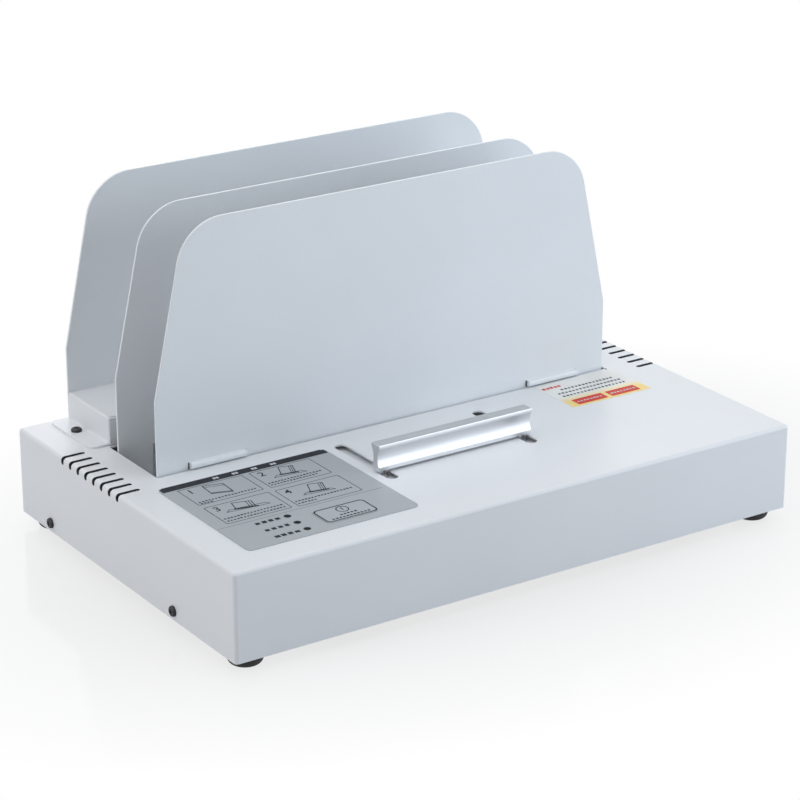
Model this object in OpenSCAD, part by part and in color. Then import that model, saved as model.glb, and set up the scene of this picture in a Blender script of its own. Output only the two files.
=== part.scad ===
/* [Housing] */
// Width of the housing from side to side
body_w = 400; // [372:1:500]
// Depth of the housing from front to rear
body_d = 261; // [255:1:330]
// Height of the housing without its feet
body_h = 55.5; // [52:0.5:75]
// Thickness of the cover's sheet steel
sheet_t = 1.2; // [0.8:0.1:1.5]
// Outer radius of the cover's folded edges
edge_r = 2.4; // [1.8:0.1:4]
// Thickness of the base's sheet steel
base_t = 1.5; // [1:0.1:2]
// Height of the base's turned-up lips
lip_h = 13; // [11:0.5:16]
// Gap between the cover's walls and the base's lips
cover_gap = 0.15; // [0.1:0.05:0.4]
// Height of the rubber feet
foot_h = 8; // [5:0.5:14]
// Diameter of the rubber feet
foot_d = 21; // [16:0.5:28]
// Distance from a foot's centre to each wall beside it
foot_in = 15; // [13:0.5:25]

/* [Vents] */
// Number of vent slots on each side
vent_count = 8; // [4:1:9]
// Distance from one vent slot to the next
vent_pitch = 9.8; // [7:0.1:12]
// Width of a vent slot
vent_w = 3; // [1.5:0.1:4]
// Length of a vent slot on the top face
vent_l = 15.2; // [8:0.1:18]
// Depth of a vent slot down the side face
vent_drop = 4.5; // [2:0.1:8]

/* [Clamp] */
// Width of the three upright plates
plate_w = 331; // [300:1:345]
// Distance of the plates' middle from the housing's middle
plate_x = -1.8; // [-3:0.1:3]
// Thickness of the upright plates
plate_t = 1.5; // [1:0.1:2.5]
// Height of the front and rear plates above the cover
plate_rise = 154; // [110:1:200]
// How much lower the middle plate ends
mid_drop = 3; // [0:0.5:6]
// Height above the cover where a plate's sides start to lean
shoulder_h = 47; // [20:1:70]
// How far a plate's side leans in at the top
lean_in = 23; // [5:1:40]
// Radius of a plate's top corners
plate_r = 30; // [10:1:45]
// Travel of the clamp from open to closed
clamp_travel = 45; // [30:1:56]
// Gap that is left when the clamp is closed
close_gap = 0.4; // [0.3:0.1:2]
// Depth of the cooling slot between the middle and rear plates
cool_gap = 62; // [45:1:75]
// Distance from the rear plate's front face to the housing's rear
rear_in = 6; // [4:0.5:12]
// Width of the opening in the cover
throat_w = 334; // [303:1:348]
// Depth of the throat below the cover's top
throat_depth = 30.5; // [24:0.5:34]
// Length of the relief slit at the opening's corner
slit_l = 5.5; // [3:0.5:10]

/* [Handle] */
// Length of the handle
handle_l = 112; // [106:1:150]
// Height of the handle's section
handle_h = 16.8; // [12:0.1:24]
// Width of the handle's flat top
handle_top = 8.7; // [7:0.1:14]
// Width of the handle's foot
handle_base = 7; // [6:0.1:12]
// Thickness of the handle's waist
handle_waist = 4.6; // [4:0.1:6]
// Gap between the handle and the cover
handle_gap = 1.3; // [0.5:0.1:3]
// Distance from the handle's middle to the front plate
handle_ahead = 65.6; // [50:0.5:72]
// Distance between the two handle bolts
bolt_span = 102; // [90:1:104]
// Width of the slots that the handle bolts run in
slot_w = 8; // [7.6:0.1:12]

/* [Cooling tray] */
// Height of the tray's top above the cover
tray_h = 18; // [12:0.5:30]
// Width of the feet that fix the tray
tray_foot = 13; // [10:0.5:14]

/* [Control panel] */
// Width of the panel film
panel_w = 115.6; // [105:0.5:117]
// Depth of the panel film
panel_d = 105; // [95:0.5:108]
// Distance from the panel to the housing's left wall
panel_in = 22.2; // [20:0.5:40]
// Distance from the panel to the housing's front
panel_front = 21; // [15:0.5:24]
// Thickness of the panel film
film_t = 0.5; // [0.3:0.1:0.8]
// Width of the start key
key_w = 35; // [20:0.5:45]
// Depth of the start key
key_d = 19.2; // [10:0.5:24]
// Travel of the start key
key_travel = 0.4; // [0.2:0.1:0.6]
// Diameter of the indicator lamps
lamp_d = 3.2; // [2:0.1:5]

/* [Rods] */
// Diameter of the guide rods
rod_d = 10; // [6:0.5:12]
// Radial running clearance of the bushes
rod_gap = 0.05; // [0.02:0.01:0.1]
// Distance from a rod's middle to the housing's side
rod_in = 22; // [21:0.5:25]
// Length of a bush
bush_l = 30; // [16:1:34]
// Distance from the carriage plate to the cover above it
carriage_gap = 2.3; // [2.1:0.1:4]

/* [Heater] */
// Length of the heating plate
heat_w = 304; // [270:1:315]
// Thickness of the heating plate
heat_t = 3; // [2:0.5:6]
// Gap between the heating plate and the front plate above it
heat_gap = 2; // [1:0.5:4]

/* [Hidden] */
$fn = 40;

// Thin overlap that keeps a cut from ending exactly on a face
eps = 0.5;
cover_under = body_h - sheet_t;
inner_w = body_w - 2 * sheet_t;

// The plates are placed from the rear, one behind the other
rear_y = body_d - rear_in;
mid_y = rear_y - cool_gap - plate_t;
liner_t = 1;
liner_y = mid_y - liner_t;
front_y = liner_y - close_gap - clamp_travel - plate_t;
handle_y = front_y - handle_ahead;
plate_left = plate_x - plate_w / 2;
plate_right = plate_x + plate_w / 2;

// Opening in the cover, from just ahead of the front plate to behind the middle plate
throat_x = plate_x + 0.8;
throat_y = front_y - 1.3;
throat_end = mid_y + plate_t + 8.3;
slit_w = 1.2;

// Slots for the handle bolts
spacer_d = 7;
slot_ahead = 14;
slot_y0 = handle_y - slot_ahead;
slot_y1 = handle_y + clamp_travel + spacer_d / 2 + 0.8;

// Carriage under the cover
carriage_t = 1.5;
carriage_top = cover_under - carriage_gap;
carriage_low = carriage_top - carriage_t;
carriage_ahead = 8;
rod_x = body_w / 2 - rod_in;
bush_w = 19;
bush_h = 19;
rod_z = carriage_low - bush_h / 2;
ear_x = rod_x + bush_w / 2;
bush_y = front_y - carriage_t - bush_l;
neck_half = bolt_span / 2 + 8;
bracket_t = 2;
bracket_w = 18;
rod_y0 = bush_y - 13;
rod_y1 = bush_y + bush_l + clamp_travel + 13;
bush_screw_pitch = 16;

// Heater in the bottom of the throat
heat_top = body_h - throat_depth;
heat_y0 = front_y + plate_t + 1.9;
heat_y1 = liner_y - 0.5;
heat_mid = (heat_y0 + heat_y1) / 2;
plate_low = heat_top + heat_gap;
shield_t = 1;
element_t = 2;
insulator_d = 9;
insulator_x = heat_w / 2 - 6;
insulator_dy = (heat_y1 - heat_y0) / 2 - 6;
shield_w = heat_w + 2;
mid_low_half = heat_w / 2 + 3;
mid_step = body_h - 22;

// Front plate's fixing studs and foot tabs
stud_d = 4;
stud_l = 5.2;
stud_x = 120;
stud_z = (plate_low + carriage_low) / 2;
tab_w = 38.4;
tab_x = 124.3;
tab_out = 3.2;
tab_h = 4;
tab_lift = 0.6;

// Cover and foot screws
screw_r = 1.45;
tapped_r = 1.5;
clear_r = 1.7;
side_screw_y = [69.5, 221];
side_screw_z = 6;
foot_screw_r = 1.95;

// Control panel and the board below it
panel_x0 = -body_w / 2 + panel_in;
panel_y0 = panel_front;
key_x0 = panel_x0 + 57.3;
key_y0 = panel_y0 + 7.2;
key_lift = key_travel + 0.05;
key_t = 0.5;
key_gap = 0.2;
key_r = 3;
key_cx = key_x0 + key_w / 2;
key_cy = key_y0 + key_d / 2;
stem_r = 2.5;
lamp_x = panel_x0 + 43.6;
lamp_y = panel_y0 + 8.2;
lamp_pitch = 10.75;
board_w = 92;
board_d = min(80, bush_y - panel_y0 - 4);
board_t = 1.6;
board_drop = 6.7;
board_x0 = panel_x0 + 12;
board_y0 = panel_y0 + 3;
board_top = cover_under - board_drop;
switch_h = 3.6;
plunger_r = 1.75;
plunger_top = board_top + 5.4;

// Power board on the base, front right
power_w = 96;
power_d = 70;
power_z = base_t + 6;
power_x0 = rod_x - bracket_w / 2 - 1 - power_w;
power_y0 = 14;

// Mains inlet and rocker switch in the rear wall
inlet_x = body_w / 2 - 50;
rocker_x = inlet_x - 46;
rear_z = lip_h + 15.5;
inlet_cut_w = 27.4;
inlet_cut_h = 20;
inlet_flange_w = 50;
inlet_flange_h = 23;
inlet_flange_t = 2.6;
inlet_hole = 20;
inlet_in = 22;
inlet_pin_at = [[-7, -2], [7, -2], [0, 2.5]];
pin_tail = 7;
rocker_cut_w = 13.2;
rocker_cut_h = 19.4;
bezel_t = 1.8;
pivot_in = 3;
pivot_r = 1;
pivot_gap = 0.05;
rocker_tilt = 8;
rocker_half = 8;
rocker_face = 4.2;
rocker_w = 9.4;

// The frame's origin is in the middle of the whole machine, on the table
rear_proud = bezel_t - pivot_in + rocker_face * cos(rocker_tilt) + rocker_half * sin(rocker_tilt);
origin_y = -(body_d + rear_proud) / 2;

// Places a child given in the housing's frame: x from its middle, y from its front
// face and z from its lower edge
module in_body() { translate([0, origin_y, foot_h]) children(); }

// A child drawn in x and z, made d deep towards +y
module deep(d) { translate([0, d, 0]) rotate([90, 0, 0]) linear_extrude(d) children(); }

// A child drawn in y and z, made w wide towards +x
module wide(w) { rotate([90, 0, 90]) linear_extrude(w) children(); }

function arc(c, r, a0, a1, n) = [for (i = [0 : n]) c + r * [cos(a0 + (a1 - a0) * i / n),
    sin(a0 + (a1 - a0) * i / n)]];

// Rectangle with rounded corners, from its lower left corner
module round_rect(w, d, r) {
    translate([r, 0]) square([w - 2 * r, d]);
    translate([0, r]) square([w, d - 2 * r]);
    for (x = [r, w - r], y = [r, d - r]) translate([x, y]) circle(r);
}

// Upright outline with rounded top corners, centred, for a folded cover
module arch(w, h, r) {
    translate([-w / 2, 0]) square([w, h - r]);
    translate([-w / 2 + r, 0]) square([w - 2 * r, h]);
    for (s = [-1, 1]) translate([s * (w / 2 - r), h - r]) circle(r);
}

// Block whose upright edges and top edges are rounded
module folded_block(w, d, h, r) {
    intersection() {
        deep(d) arch(w, h, r);
        translate([-w / 2, d / 2, 0]) wide(w) arch(d, h, r);
        linear_extrude(h) translate([-w / 2, 0]) round_rect(w, d, r);
    }
}

// Slot with round ends along y, between the middles of its ends
module slot_y(w, y0, y1) {
    translate([-w / 2, y0]) square([w, y1 - y0]);
    for (y = [y0, y1]) translate([0, y]) circle(w / 2);
}

// Screw with a low domed head and a cross recess, head up, seated at z = 0
module pan_screw(head_d, head_h, r, l) {
    difference() {
        union() {
            cylinder(r = head_d / 2, h = head_h * 0.55);
            translate([0, 0, head_h * 0.55]) cylinder(r1 = head_d / 2, r2 = head_d / 3.2, h = head_h * 0.45);
            translate([0, 0, -l]) cylinder(r = r, h = l + 0.01);
        }
        for (a = [0, 90]) rotate(a) translate([-head_d / 4, -0.4, head_h * 0.45])
            cube([head_d / 2, 0.8, head_h]);
    }
}

// Screw with a flat countersunk head whose top is at z = 0
module flat_screw(head_d, r, l) {
    difference() {
        union() {
            translate([0, 0, -(head_d / 2 - r)]) cylinder(r1 = r, r2 = head_d / 2, h = head_d / 2 - r);
            translate([0, 0, -l]) cylinder(r = r, h = l - (head_d / 2 - r) + 0.01);
        }
        for (a = [0, 90]) rotate(a) translate([-head_d / 4, -0.4, -1]) cube([head_d / 2, 0.8, 2]);
    }
}

// Hexagon nut lying on z = 0
module nut(flats, h, r) {
    difference() {
        cylinder(r = flats / sqrt(3), h = h, $fn = 6);
        translate([0, 0, -eps]) cylinder(r = r, h = h + 2 * eps);
    }
}

// Wire through a list of points, as eight-sided lengths that run into each other at the bends
module wire(points, d) {
    last = len(points) - 2;
    for (i = [0 : last]) {
        v = points[i + 1] - points[i];
        l = norm(v);
        before = i == 0 ? 0 : d / 4;
        after = i == last ? 0 : d / 4;
        translate(points[i]) rotate([0, acos(v[2] / l), atan2(v[1], v[0])])
            translate([0, 0, -before]) cylinder(r = d / 2, h = l + before + after, $fn = 8);
    }
}

// Outline of an upright plate: straight sides, then sides that lean in to round corners
module plate_outline(low, top) {
    half = plate_w / 2;
    shoulder = body_h + shoulder_h;
    rise = top - shoulder;
    side = sqrt(rise * rise + lean_in * lean_in);
    lean = atan2(lean_in, rise);
    cz = top - plate_r;
    cx = half - (plate_r * side + (cz - shoulder) * lean_in) / rise;
    right = concat([[half, low], [half, shoulder]], arc([cx, cz], plate_r, lean, 90, 14));
    left = [for (i = [len(right) - 1 : -1 : 0]) [-right[i][0], right[i][1]]];
    translate([plate_x, 0]) polygon(concat(right, left));
}

// Foot screw and cover screw places
module at_feet() {
    for (x = [-1, 1], y = [foot_in, body_d - foot_in])
        translate([x * (body_w / 2 - foot_in), y]) children();
}
module at_side_screws() {
    for (s = [0, 1], y = side_screw_y) mirror([s, 0, 0])
        translate([-body_w / 2, y, side_screw_z]) rotate([0, -90, 0]) children();
}
module at_tray_screws() {
    for (x = [plate_left - tray_foot / 2 + 0.1, plate_right + tray_foot / 2 - 0.1])
        translate([x, rear_y - 21.5]) children();
}
module at_rear_screws() {
    for (x = [-110, 0, 110]) translate([plate_x + x, rear_y - 8]) children();
}
module at_mid_screws() {
    for (x = [-110, 0, 110]) translate([plate_x + x, mid_y + plate_t + 8]) children();
}
module at_lamps() {
    for (i = [0 : 2]) translate([lamp_x, lamp_y + i * lamp_pitch]) children();
}
module at_board_posts() {
    for (x = [5, board_w - 5], y = [5, board_d - 5])
        translate([board_x0 + x, board_y0 + y, 0]) children();
}
module at_power_posts() {
    for (x = [5, power_w - 5], y = [5, power_d - 5])
        translate([power_x0 + x, power_y0 + y, 0]) children();
}
module at_insulators() {
    for (x = [-1, 1], y = [-1, 1])
        translate([plate_x + x * insulator_x, heat_mid + y * insulator_dy, 0]) children();
}
module at_handle_bolts() {
    for (x = [-1, 1]) translate([x * bolt_span / 2, handle_y, 0]) children();
}
module at_bushes() {
    for (x = [-1, 1]) translate([x * rod_x, bush_y, rod_z]) children();
}
module at_bush_screws() {
    for (x = [-1, 1], y = [-1, 1])
        translate([x * rod_x, bush_y + bush_l / 2 + y * bush_screw_pitch / 2, carriage_low]) children();
}
module at_studs() {
    for (x = [-stud_x, -stud_x / 3, stud_x / 3, stud_x])
        translate([plate_x + x, front_y, stud_z]) rotate([90, 0, 0]) children();
}

// Housing
module top_cover() {
    color("whitesmoke") in_body() difference() {
        folded_block(body_w, body_d, body_h, edge_r);
        translate([0, sheet_t, -eps])
            folded_block(inner_w, body_d - 2 * sheet_t, cover_under + eps, edge_r - sheet_t);
        cover_top_cuts();
        at_side_screws() translate([0, 0, -2 * sheet_t]) cylinder(r = clear_r, h = 3 * sheet_t);
        rear_wall_cuts();
    }
}

// Everything that is punched through the cover's top face and its side folds
module cover_top_cuts() {
    translate([0, 0, cover_under - eps]) linear_extrude(sheet_t + 2 * eps) {
        translate([throat_x - throat_w / 2, throat_y]) square([throat_w, throat_end - throat_y]);
        translate([throat_x + throat_w / 2 - slit_w, throat_y - slit_l]) square([slit_w, slit_l + 1]);
        for (x = [-1, 1]) translate([x * bolt_span / 2, 0])
            slot_y(slot_w, slot_y0 + slot_w / 2, slot_y1 - slot_w / 2);
        translate([key_cx, key_cy]) circle(stem_r + 0.8);
        at_lamps() circle(lamp_d / 2 + 0.2);
        at_tray_screws() circle(tapped_r);
        at_rear_screws() circle(tapped_r);
    }
    for (s = [0, 1], i = [0 : vent_count - 1]) mirror([s, 0, 0])
        translate([-body_w / 2 - eps, front_y - 10 + i * vent_pitch, body_h - vent_drop]) {
            translate([0, -vent_w / 2, 0]) cube([vent_l + eps - vent_w / 2, vent_w, vent_drop + eps]);
            translate([vent_l + eps - vent_w / 2, 0, 0]) cylinder(r = vent_w / 2, h = vent_drop + eps);
        }
}

module rear_wall_cuts() {
    translate([0, body_d - sheet_t - eps, rear_z]) deep(sheet_t + 2 * eps) {
        translate([inlet_x - inlet_cut_w / 2, -inlet_cut_h / 2]) square([inlet_cut_w, inlet_cut_h]);
        translate([rocker_x - rocker_cut_w / 2, -rocker_cut_h / 2]) square([rocker_cut_w, rocker_cut_h]);
        for (x = [-1, 1]) translate([inlet_x + x * inlet_hole, 0]) circle(tapped_r);
    }
}

module base_tray() {
    w = inner_w - 2 * cover_gap;
    d = body_d - 2 * sheet_t - 2 * cover_gap;
    color("silver") in_body() difference() {
        translate([-w / 2, sheet_t + cover_gap, 0]) linear_extrude(lip_h) round_rect(w, d, edge_r - sheet_t);
        translate([-w / 2 + base_t, sheet_t + cover_gap + base_t, base_t])
            cube([w - 2 * base_t, d - 2 * base_t, lip_h]);
        at_side_screws() translate([0, 0, -3 * base_t - sheet_t]) cylinder(r = tapped_r, h = 4 * base_t);
        at_feet() translate([0, 0, -eps]) cylinder(r = foot_screw_r + 0.05, h = base_t + 2 * eps);
        translate([0, 0, -eps]) linear_extrude(base_t + 2 * eps) {
            for (x = [-5 : 5], y = [-1, 1])
                translate([plate_x + x * 24, heat_mid + y * 11]) slot_y(4, -5, 5);
            at_mid_screws() circle(tapped_r);
        }
    }
}

// A foot is a rubber button with a rounded rim and a recess for its screw
module rubber_feet() {
    rim = 4;
    outline = concat([[4, 3.5], [4, 0]], arc([foot_d / 2 - rim, rim], rim, -90, 0, 10),
        [[foot_d / 2, foot_h], [2, foot_h], [2, 3.5]]);
    color("#1c1c1e") translate([0, origin_y, 0]) at_feet() rotate_extrude($fn = 48) polygon(outline);
}

module foot_screws() {
    color("dimgray") in_body() at_feet() translate([0, 0, 3.5 - foot_h]) mirror([0, 0, 1])
        pan_screw(7, 2.4, foot_screw_r, foot_h - 3.5 + base_t + 2);
}

module cover_screws() {
    color("#202022") in_body() at_side_screws() pan_screw(6.6, 2, screw_r, 7);
}

// Cooling tray: a bridge on two feet, with a wall at each end and along the front
module cooling_tray() {
    t = sheet_t;
    w = plate_right - plate_left;
    front = throat_end + 1;
    color("whitesmoke") in_body() difference() {
        union() {
            translate([plate_left, front + 2, body_h + tray_h - t]) cube([w, rear_y - front - 2, t]);
            translate([plate_left + 2, front, body_h + 0.3]) cube([w - 4, t, tray_h - 0.3]);
            translate([plate_left + 2, front, body_h + tray_h - t]) cube([w - 4, 3, t]);
            for (x = [plate_left, plate_right - t])
                translate([x, front + 2, body_h]) cube([t, rear_y - front - 2, tray_h]);
            for (x = [plate_left - tray_foot, plate_right - t])
                translate([x, front + 1, body_h]) difference() {
                    linear_extrude(t) round_rect(tray_foot + t, rear_y - front + 2, 5.5);
                    translate([x < plate_x ? tray_foot : -eps, rear_y - front - 1, -eps])
                        cube([t + eps, 4, t + 2 * eps]);
                    translate([x < plate_x ? tray_foot : -eps, -eps, -eps])
                        cube([t + eps, 1 + eps, t + 2 * eps]);
                }
        }
        at_tray_screws() translate([0, 0, body_h - eps]) cylinder(r = clear_r, h = sheet_t + 2 * eps);
    }
}

module cooling_tray_screws() {
    color("#202022") in_body() at_tray_screws() translate([0, 0, body_h + sheet_t])
        pan_screw(6.8, 2, screw_r, 6);
}

module rear_plate() {
    color("gainsboro") in_body() difference() {
        union() {
            translate([0, rear_y, 0]) deep(plate_t) plate_outline(body_h, body_h + plate_rise);
            translate([plate_left + 4, rear_y - 16, body_h]) cube([plate_w - 8, 16 + plate_t, plate_t]);
        }
        at_rear_screws() translate([0, 0, body_h - eps]) cylinder(r = clear_r, h = plate_t + 2 * eps);
    }
}

module rear_plate_screws() {
    color("dimgray") in_body() at_rear_screws() translate([0, 0, body_h + plate_t])
        pan_screw(6, 2, screw_r, 6);
}

// The middle plate goes down through the opening and stands on the base
module middle_plate() {
    color("lightgray") in_body() difference() {
        union() {
            translate([0, mid_y, 0]) deep(plate_t) {
                plate_outline(mid_step, body_h + plate_rise - mid_drop);
                translate([plate_x - mid_low_half, base_t])
                    square([2 * mid_low_half, mid_step - base_t]);
            }
            translate([plate_x - mid_low_half, mid_y, base_t]) cube([2 * mid_low_half, 16, plate_t]);
        }
        at_mid_screws() translate([0, 0, base_t - eps]) cylinder(r = clear_r, h = plate_t + 2 * eps);
    }
}

module middle_plate_screws() {
    color("dimgray") in_body() at_mid_screws() translate([0, 0, base_t + plate_t])
        pan_screw(6, 2, screw_r, 5);
}

// Thin shield on the middle plate, just inside the throat
module throat_liner() {
    half = heat_w / 2 - 10;
    color("darkgray") in_body() translate([plate_x - half, liner_y, heat_top + 1])
        cube([2 * half, liner_t, body_h - heat_top - 0.5]);
}

// The front plate is the moving jaw; two pressed tabs at its foot lie over the cover
module front_plate() {
    color("aliceblue") in_body() {
        translate([0, front_y, 0]) deep(plate_t) plate_outline(plate_low, body_h + plate_rise);
        for (x = [-1, 1]) translate([plate_x + x * tab_x - tab_w / 2, front_y, body_h + tab_lift]) {
            translate([0, -tab_out + tab_h / 2, 0]) cube([tab_w, tab_out - tab_h / 2 + 0.2, tab_h]);
            translate([0, -tab_out + tab_h / 2, tab_h / 2]) rotate([0, 90, 0])
                cylinder(r = tab_h / 2, h = tab_w);
        }
        at_studs() cylinder(r = stud_d / 2, h = stud_l + carriage_t);
    }
}

module front_plate_nuts() {
    color("silver") in_body() at_studs() translate([0, 0, carriage_t]) nut(7, 3.2, stud_d / 2 + 0.02);
}

// T-shaped carriage plate with a turned-down edge that carries the front plate
module clamp_carriage() {
    flange_half = plate_w / 2 - 12;
    color("gainsboro") in_body() difference() {
        union() {
            translate([-ear_x, bush_y, carriage_low]) cube([2 * ear_x, bush_l + carriage_t, carriage_t]);
            translate([-neck_half, handle_y - carriage_ahead, carriage_low])
                cube([2 * neck_half, front_y - handle_y + carriage_ahead, carriage_t]);
            translate([plate_x - flange_half, front_y - carriage_t, plate_low + 2])
                cube([2 * flange_half, carriage_t, carriage_top - plate_low - 2]);
        }
        at_handle_bolts() translate([0, 0, carriage_low - eps]) cylinder(r = 2.1, h = carriage_t + 2 * eps);
        at_bush_screws() translate([0, 0, -eps]) cylinder(r = clear_r, h = carriage_t + 2 * eps);
        at_studs() translate([0, 0, -eps]) cylinder(r = stud_d / 2 + 0.1, h = carriage_t + 2 * eps);
    }
}

module slide_bushes() {
    color("ivory") in_body() at_bushes() difference() {
        translate([-bush_w / 2, 0, -bush_h / 2]) cube([bush_w, bush_l, bush_h]);
        translate([0, bush_l + eps, 0]) rotate([90, 0, 0])
            cylinder(r = rod_d / 2 + rod_gap, h = bush_l + 2 * eps);
        for (y = [-1, 1]) translate([0, bush_l / 2 + y * bush_screw_pitch / 2, bush_h / 2 - 3.5])
            cylinder(r = tapped_r, h = 4);
    }
}

module bush_screws() {
    color("dimgray") in_body() at_bush_screws() translate([0, 0, carriage_t])
        pan_screw(5.6, 1.6, screw_r, 4.4);
}

module guide_rods() {
    color("silver") in_body() for (x = [-1, 1]) translate([x * rod_x, rod_y1, rod_z])
        rotate([90, 0, 0]) cylinder(r = rod_d / 2, h = rod_y1 - rod_y0);
}

// Four upright brackets on the base hold the rods' ends
module rod_brackets() {
    foot = 12;
    color("gray") in_body() for (x = [-1, 1], e = [0, 1])
        translate([x * rod_x, e == 0 ? rod_y0 : rod_y1 - bracket_t, base_t]) difference() {
            union() {
                translate([-bracket_w / 2, 0, 0]) cube([bracket_w, bracket_t, rod_z + 8 - base_t]);
                translate([-bracket_w / 2, e == 0 ? -foot : 0, 0])
                    cube([bracket_w, foot + bracket_t, bracket_t]);
            }
            translate([0, bracket_t + eps, rod_z - base_t]) rotate([90, 0, 0])
                cylinder(r = rod_d / 2 + 0.02, h = bracket_t + 2 * eps);
        }
}

// Extruded pull with hollowed front and rear faces
module handle() {
    scoop_r = 11.2;
    h = handle_h;
    color("silver") in_body() difference() {
        translate([-handle_l / 2, handle_y, body_h + handle_gap]) wide(handle_l) difference() {
            polygon([[-handle_base / 2, 0], [handle_base / 2, 0], [handle_base / 2, 1.6],
                [handle_top / 2, h - 1.8], [handle_top / 2, h], [-handle_top / 2, h],
                [-handle_top / 2, h - 1.8], [-handle_base / 2, 1.6]]);
            for (s = [-1, 1]) translate([s * (handle_waist / 2 + scoop_r), h * 0.48]) circle(scoop_r);
        }
        at_handle_bolts() translate([0, 0, body_h + handle_gap - eps]) cylinder(r = 1.75, h = 6.5 + eps);
    }
}

module handle_bolts() {
    shank = body_h + handle_gap - carriage_low + 5.5;
    color("gray") in_body() at_handle_bolts() translate([0, 0, carriage_low - 3]) {
        cylinder(r = 3.5, h = 3);
        translate([0, 0, 2.9]) cylinder(r = 1.7, h = shank + 0.1);
    }
}

module handle_spacers() {
    color("lightgray") in_body() at_handle_bolts() translate([0, 0, carriage_top]) difference() {
        cylinder(r = spacer_d / 2, h = body_h + handle_gap - carriage_top);
        translate([0, 0, -eps]) cylinder(r = 2.1, h = body_h + handle_gap - carriage_top + 2 * eps);
    }
}

// Printed film with windows for the key and the lamps
module control_film() {
    color("#a3a9ae") in_body() translate([0, 0, body_h]) linear_extrude(film_t) difference() {
        translate([panel_x0, panel_y0]) round_rect(panel_w, panel_d, 4);
        translate([key_x0 - key_gap, key_y0 - key_gap])
            round_rect(key_w + 2 * key_gap, key_d + 2 * key_gap, key_r + key_gap);
        at_lamps() circle(lamp_d / 2 + 0.05);
    }
}

module start_key() {
    color("#a9afb4") in_body() {
        translate([key_x0, key_y0, body_h + key_lift]) linear_extrude(key_t)
            round_rect(key_w, key_d, key_r);
        translate([key_cx, key_cy, plunger_top])
            cylinder(r = stem_r, h = body_h + key_lift - plunger_top + 0.1);
    }
}

module switch_plunger() {
    color("#202022") in_body() translate([key_cx, key_cy, board_top + 2.6])
        cylinder(r = plunger_r, h = plunger_top - board_top - 2.6);
}

module key_switch() {
    color("#303034") in_body() translate([key_cx, key_cy, board_top]) difference() {
        translate([-6, -6, 0]) cube([12, 12, switch_h]);
        translate([0, 0, 2.6 - key_travel - 0.1]) cylinder(r = plunger_r + 0.05, h = switch_h);
    }
}

module control_board() {
    color("darkgreen") in_body() translate([board_x0, board_y0, board_top - board_t]) {
        difference() {
            cube([board_w, board_d, board_t]);
            for (x = [5, board_w - 5], y = [5, board_d - 5]) translate([x, y, -eps])
                cylinder(r = clear_r, h = board_t + 2 * eps);
        }
        translate([board_w - 34, 34, board_t]) cube([12, 9, 2]);
    }
}

module board_posts() {
    color("goldenrod") in_body() at_board_posts() {
        translate([0, 0, board_top]) cylinder(r = 3, h = board_drop, $fn = 6);
        translate([0, 0, board_top - board_t - 2]) cylinder(r = 1.5, h = board_t + 2.1);
        translate([0, 0, board_top - board_t - 2]) cylinder(r = 2.8, h = 2);
    }
}

// Each lamp is a small domed light-emitting diode that reaches up through the cover
module indicator_lamps() {
    color("#33201e") in_body() at_lamps() {
        translate([0, 0, board_top]) cylinder(r = 1.9, h = 1);
        translate([0, 0, board_top]) cylinder(r = lamp_d / 2, h = board_drop + sheet_t + film_t);
    }
}

module buzzer() {
    color("#202022") in_body() translate([board_x0 + board_w - 16, board_y0 + 62, board_top]) difference() {
        cylinder(r = 6, h = 5.5);
        translate([0, 0, 4]) cylinder(r = 1, h = 3);
    }
}

module board_socket() {
    h = 6;
    color("ivory") in_body()
        translate([board_x0 + board_w - 20, board_y0 + 18, board_top - board_t - h]) difference() {
            cube([14, 7, h]);
            translate([1, 1, -eps]) cube([12, 5, 4]);
        }
}

// Heater
module heating_plate() {
    color("silver") in_body() difference() {
        translate([plate_x - heat_w / 2, heat_y0, heat_top - heat_t])
            cube([heat_w, heat_y1 - heat_y0, heat_t]);
        at_insulators() translate([0, 0, heat_top - heat_t - eps]) cylinder(r = 1.7, h = heat_t + 2 * eps);
        at_insulators() translate([0, 0, heat_top - 1.8]) cylinder(r1 = 1.6, r2 = 3.6, h = 2);
    }
}

module heater_elements() {
    w = heat_w / 2 - 34;
    color("tan") in_body() for (x = [-1, 1])
        translate([plate_x + x * (14 + w / 2) - w / 2, heat_y0 + 3, heat_top - heat_t - element_t])
            cube([w, heat_y1 - heat_y0 - 6, element_t]);
}

module heater_insulators() {
    h = heat_top - heat_t - base_t - shield_t;
    color("white") in_body() at_insulators() translate([0, 0, base_t + shield_t]) difference() {
        cylinder(r = insulator_d / 2, h = h);
        translate([0, 0, h - 8]) cylinder(r = 1.5, h = 8 + eps);
    }
}

module heater_screws() {
    color("gray") in_body() at_insulators() translate([0, 0, heat_top - 0.1])
        flat_screw(6.4, screw_r, heat_t + 6);
}

// Shield under the heater, with low walls at the front and rear
module heater_shield() {
    d = heat_y1 - heat_y0;
    color("lightgray") in_body() translate([plate_x - shield_w / 2, heat_y0, base_t]) {
        cube([shield_w, d, shield_t]);
        for (y = [0, d - shield_t]) translate([0, y, 0]) cube([shield_w, shield_t, 9]);
    }
}

module thermostat() {
    z = heat_top - heat_t;
    color("#2a2a2c") in_body() translate([plate_x, heat_mid + 6, z]) {
        translate([0, 0, -3]) cylinder(r = 8, h = 3);
        translate([0, 0, -11]) cylinder(r = 6.5, h = 8.1);
        for (x = [-1, 1]) translate([x * 3.5 - 0.4, -3, -15]) cube([0.8, 6, 4.1]);
    }
}

module thermal_fuse() {
    r = 2;
    color("silver") in_body() translate([plate_x - 6, heat_mid - 12, heat_top - heat_t - r])
        rotate([0, 90, 0]) cylinder(r = r, h = 12);
}

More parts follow.
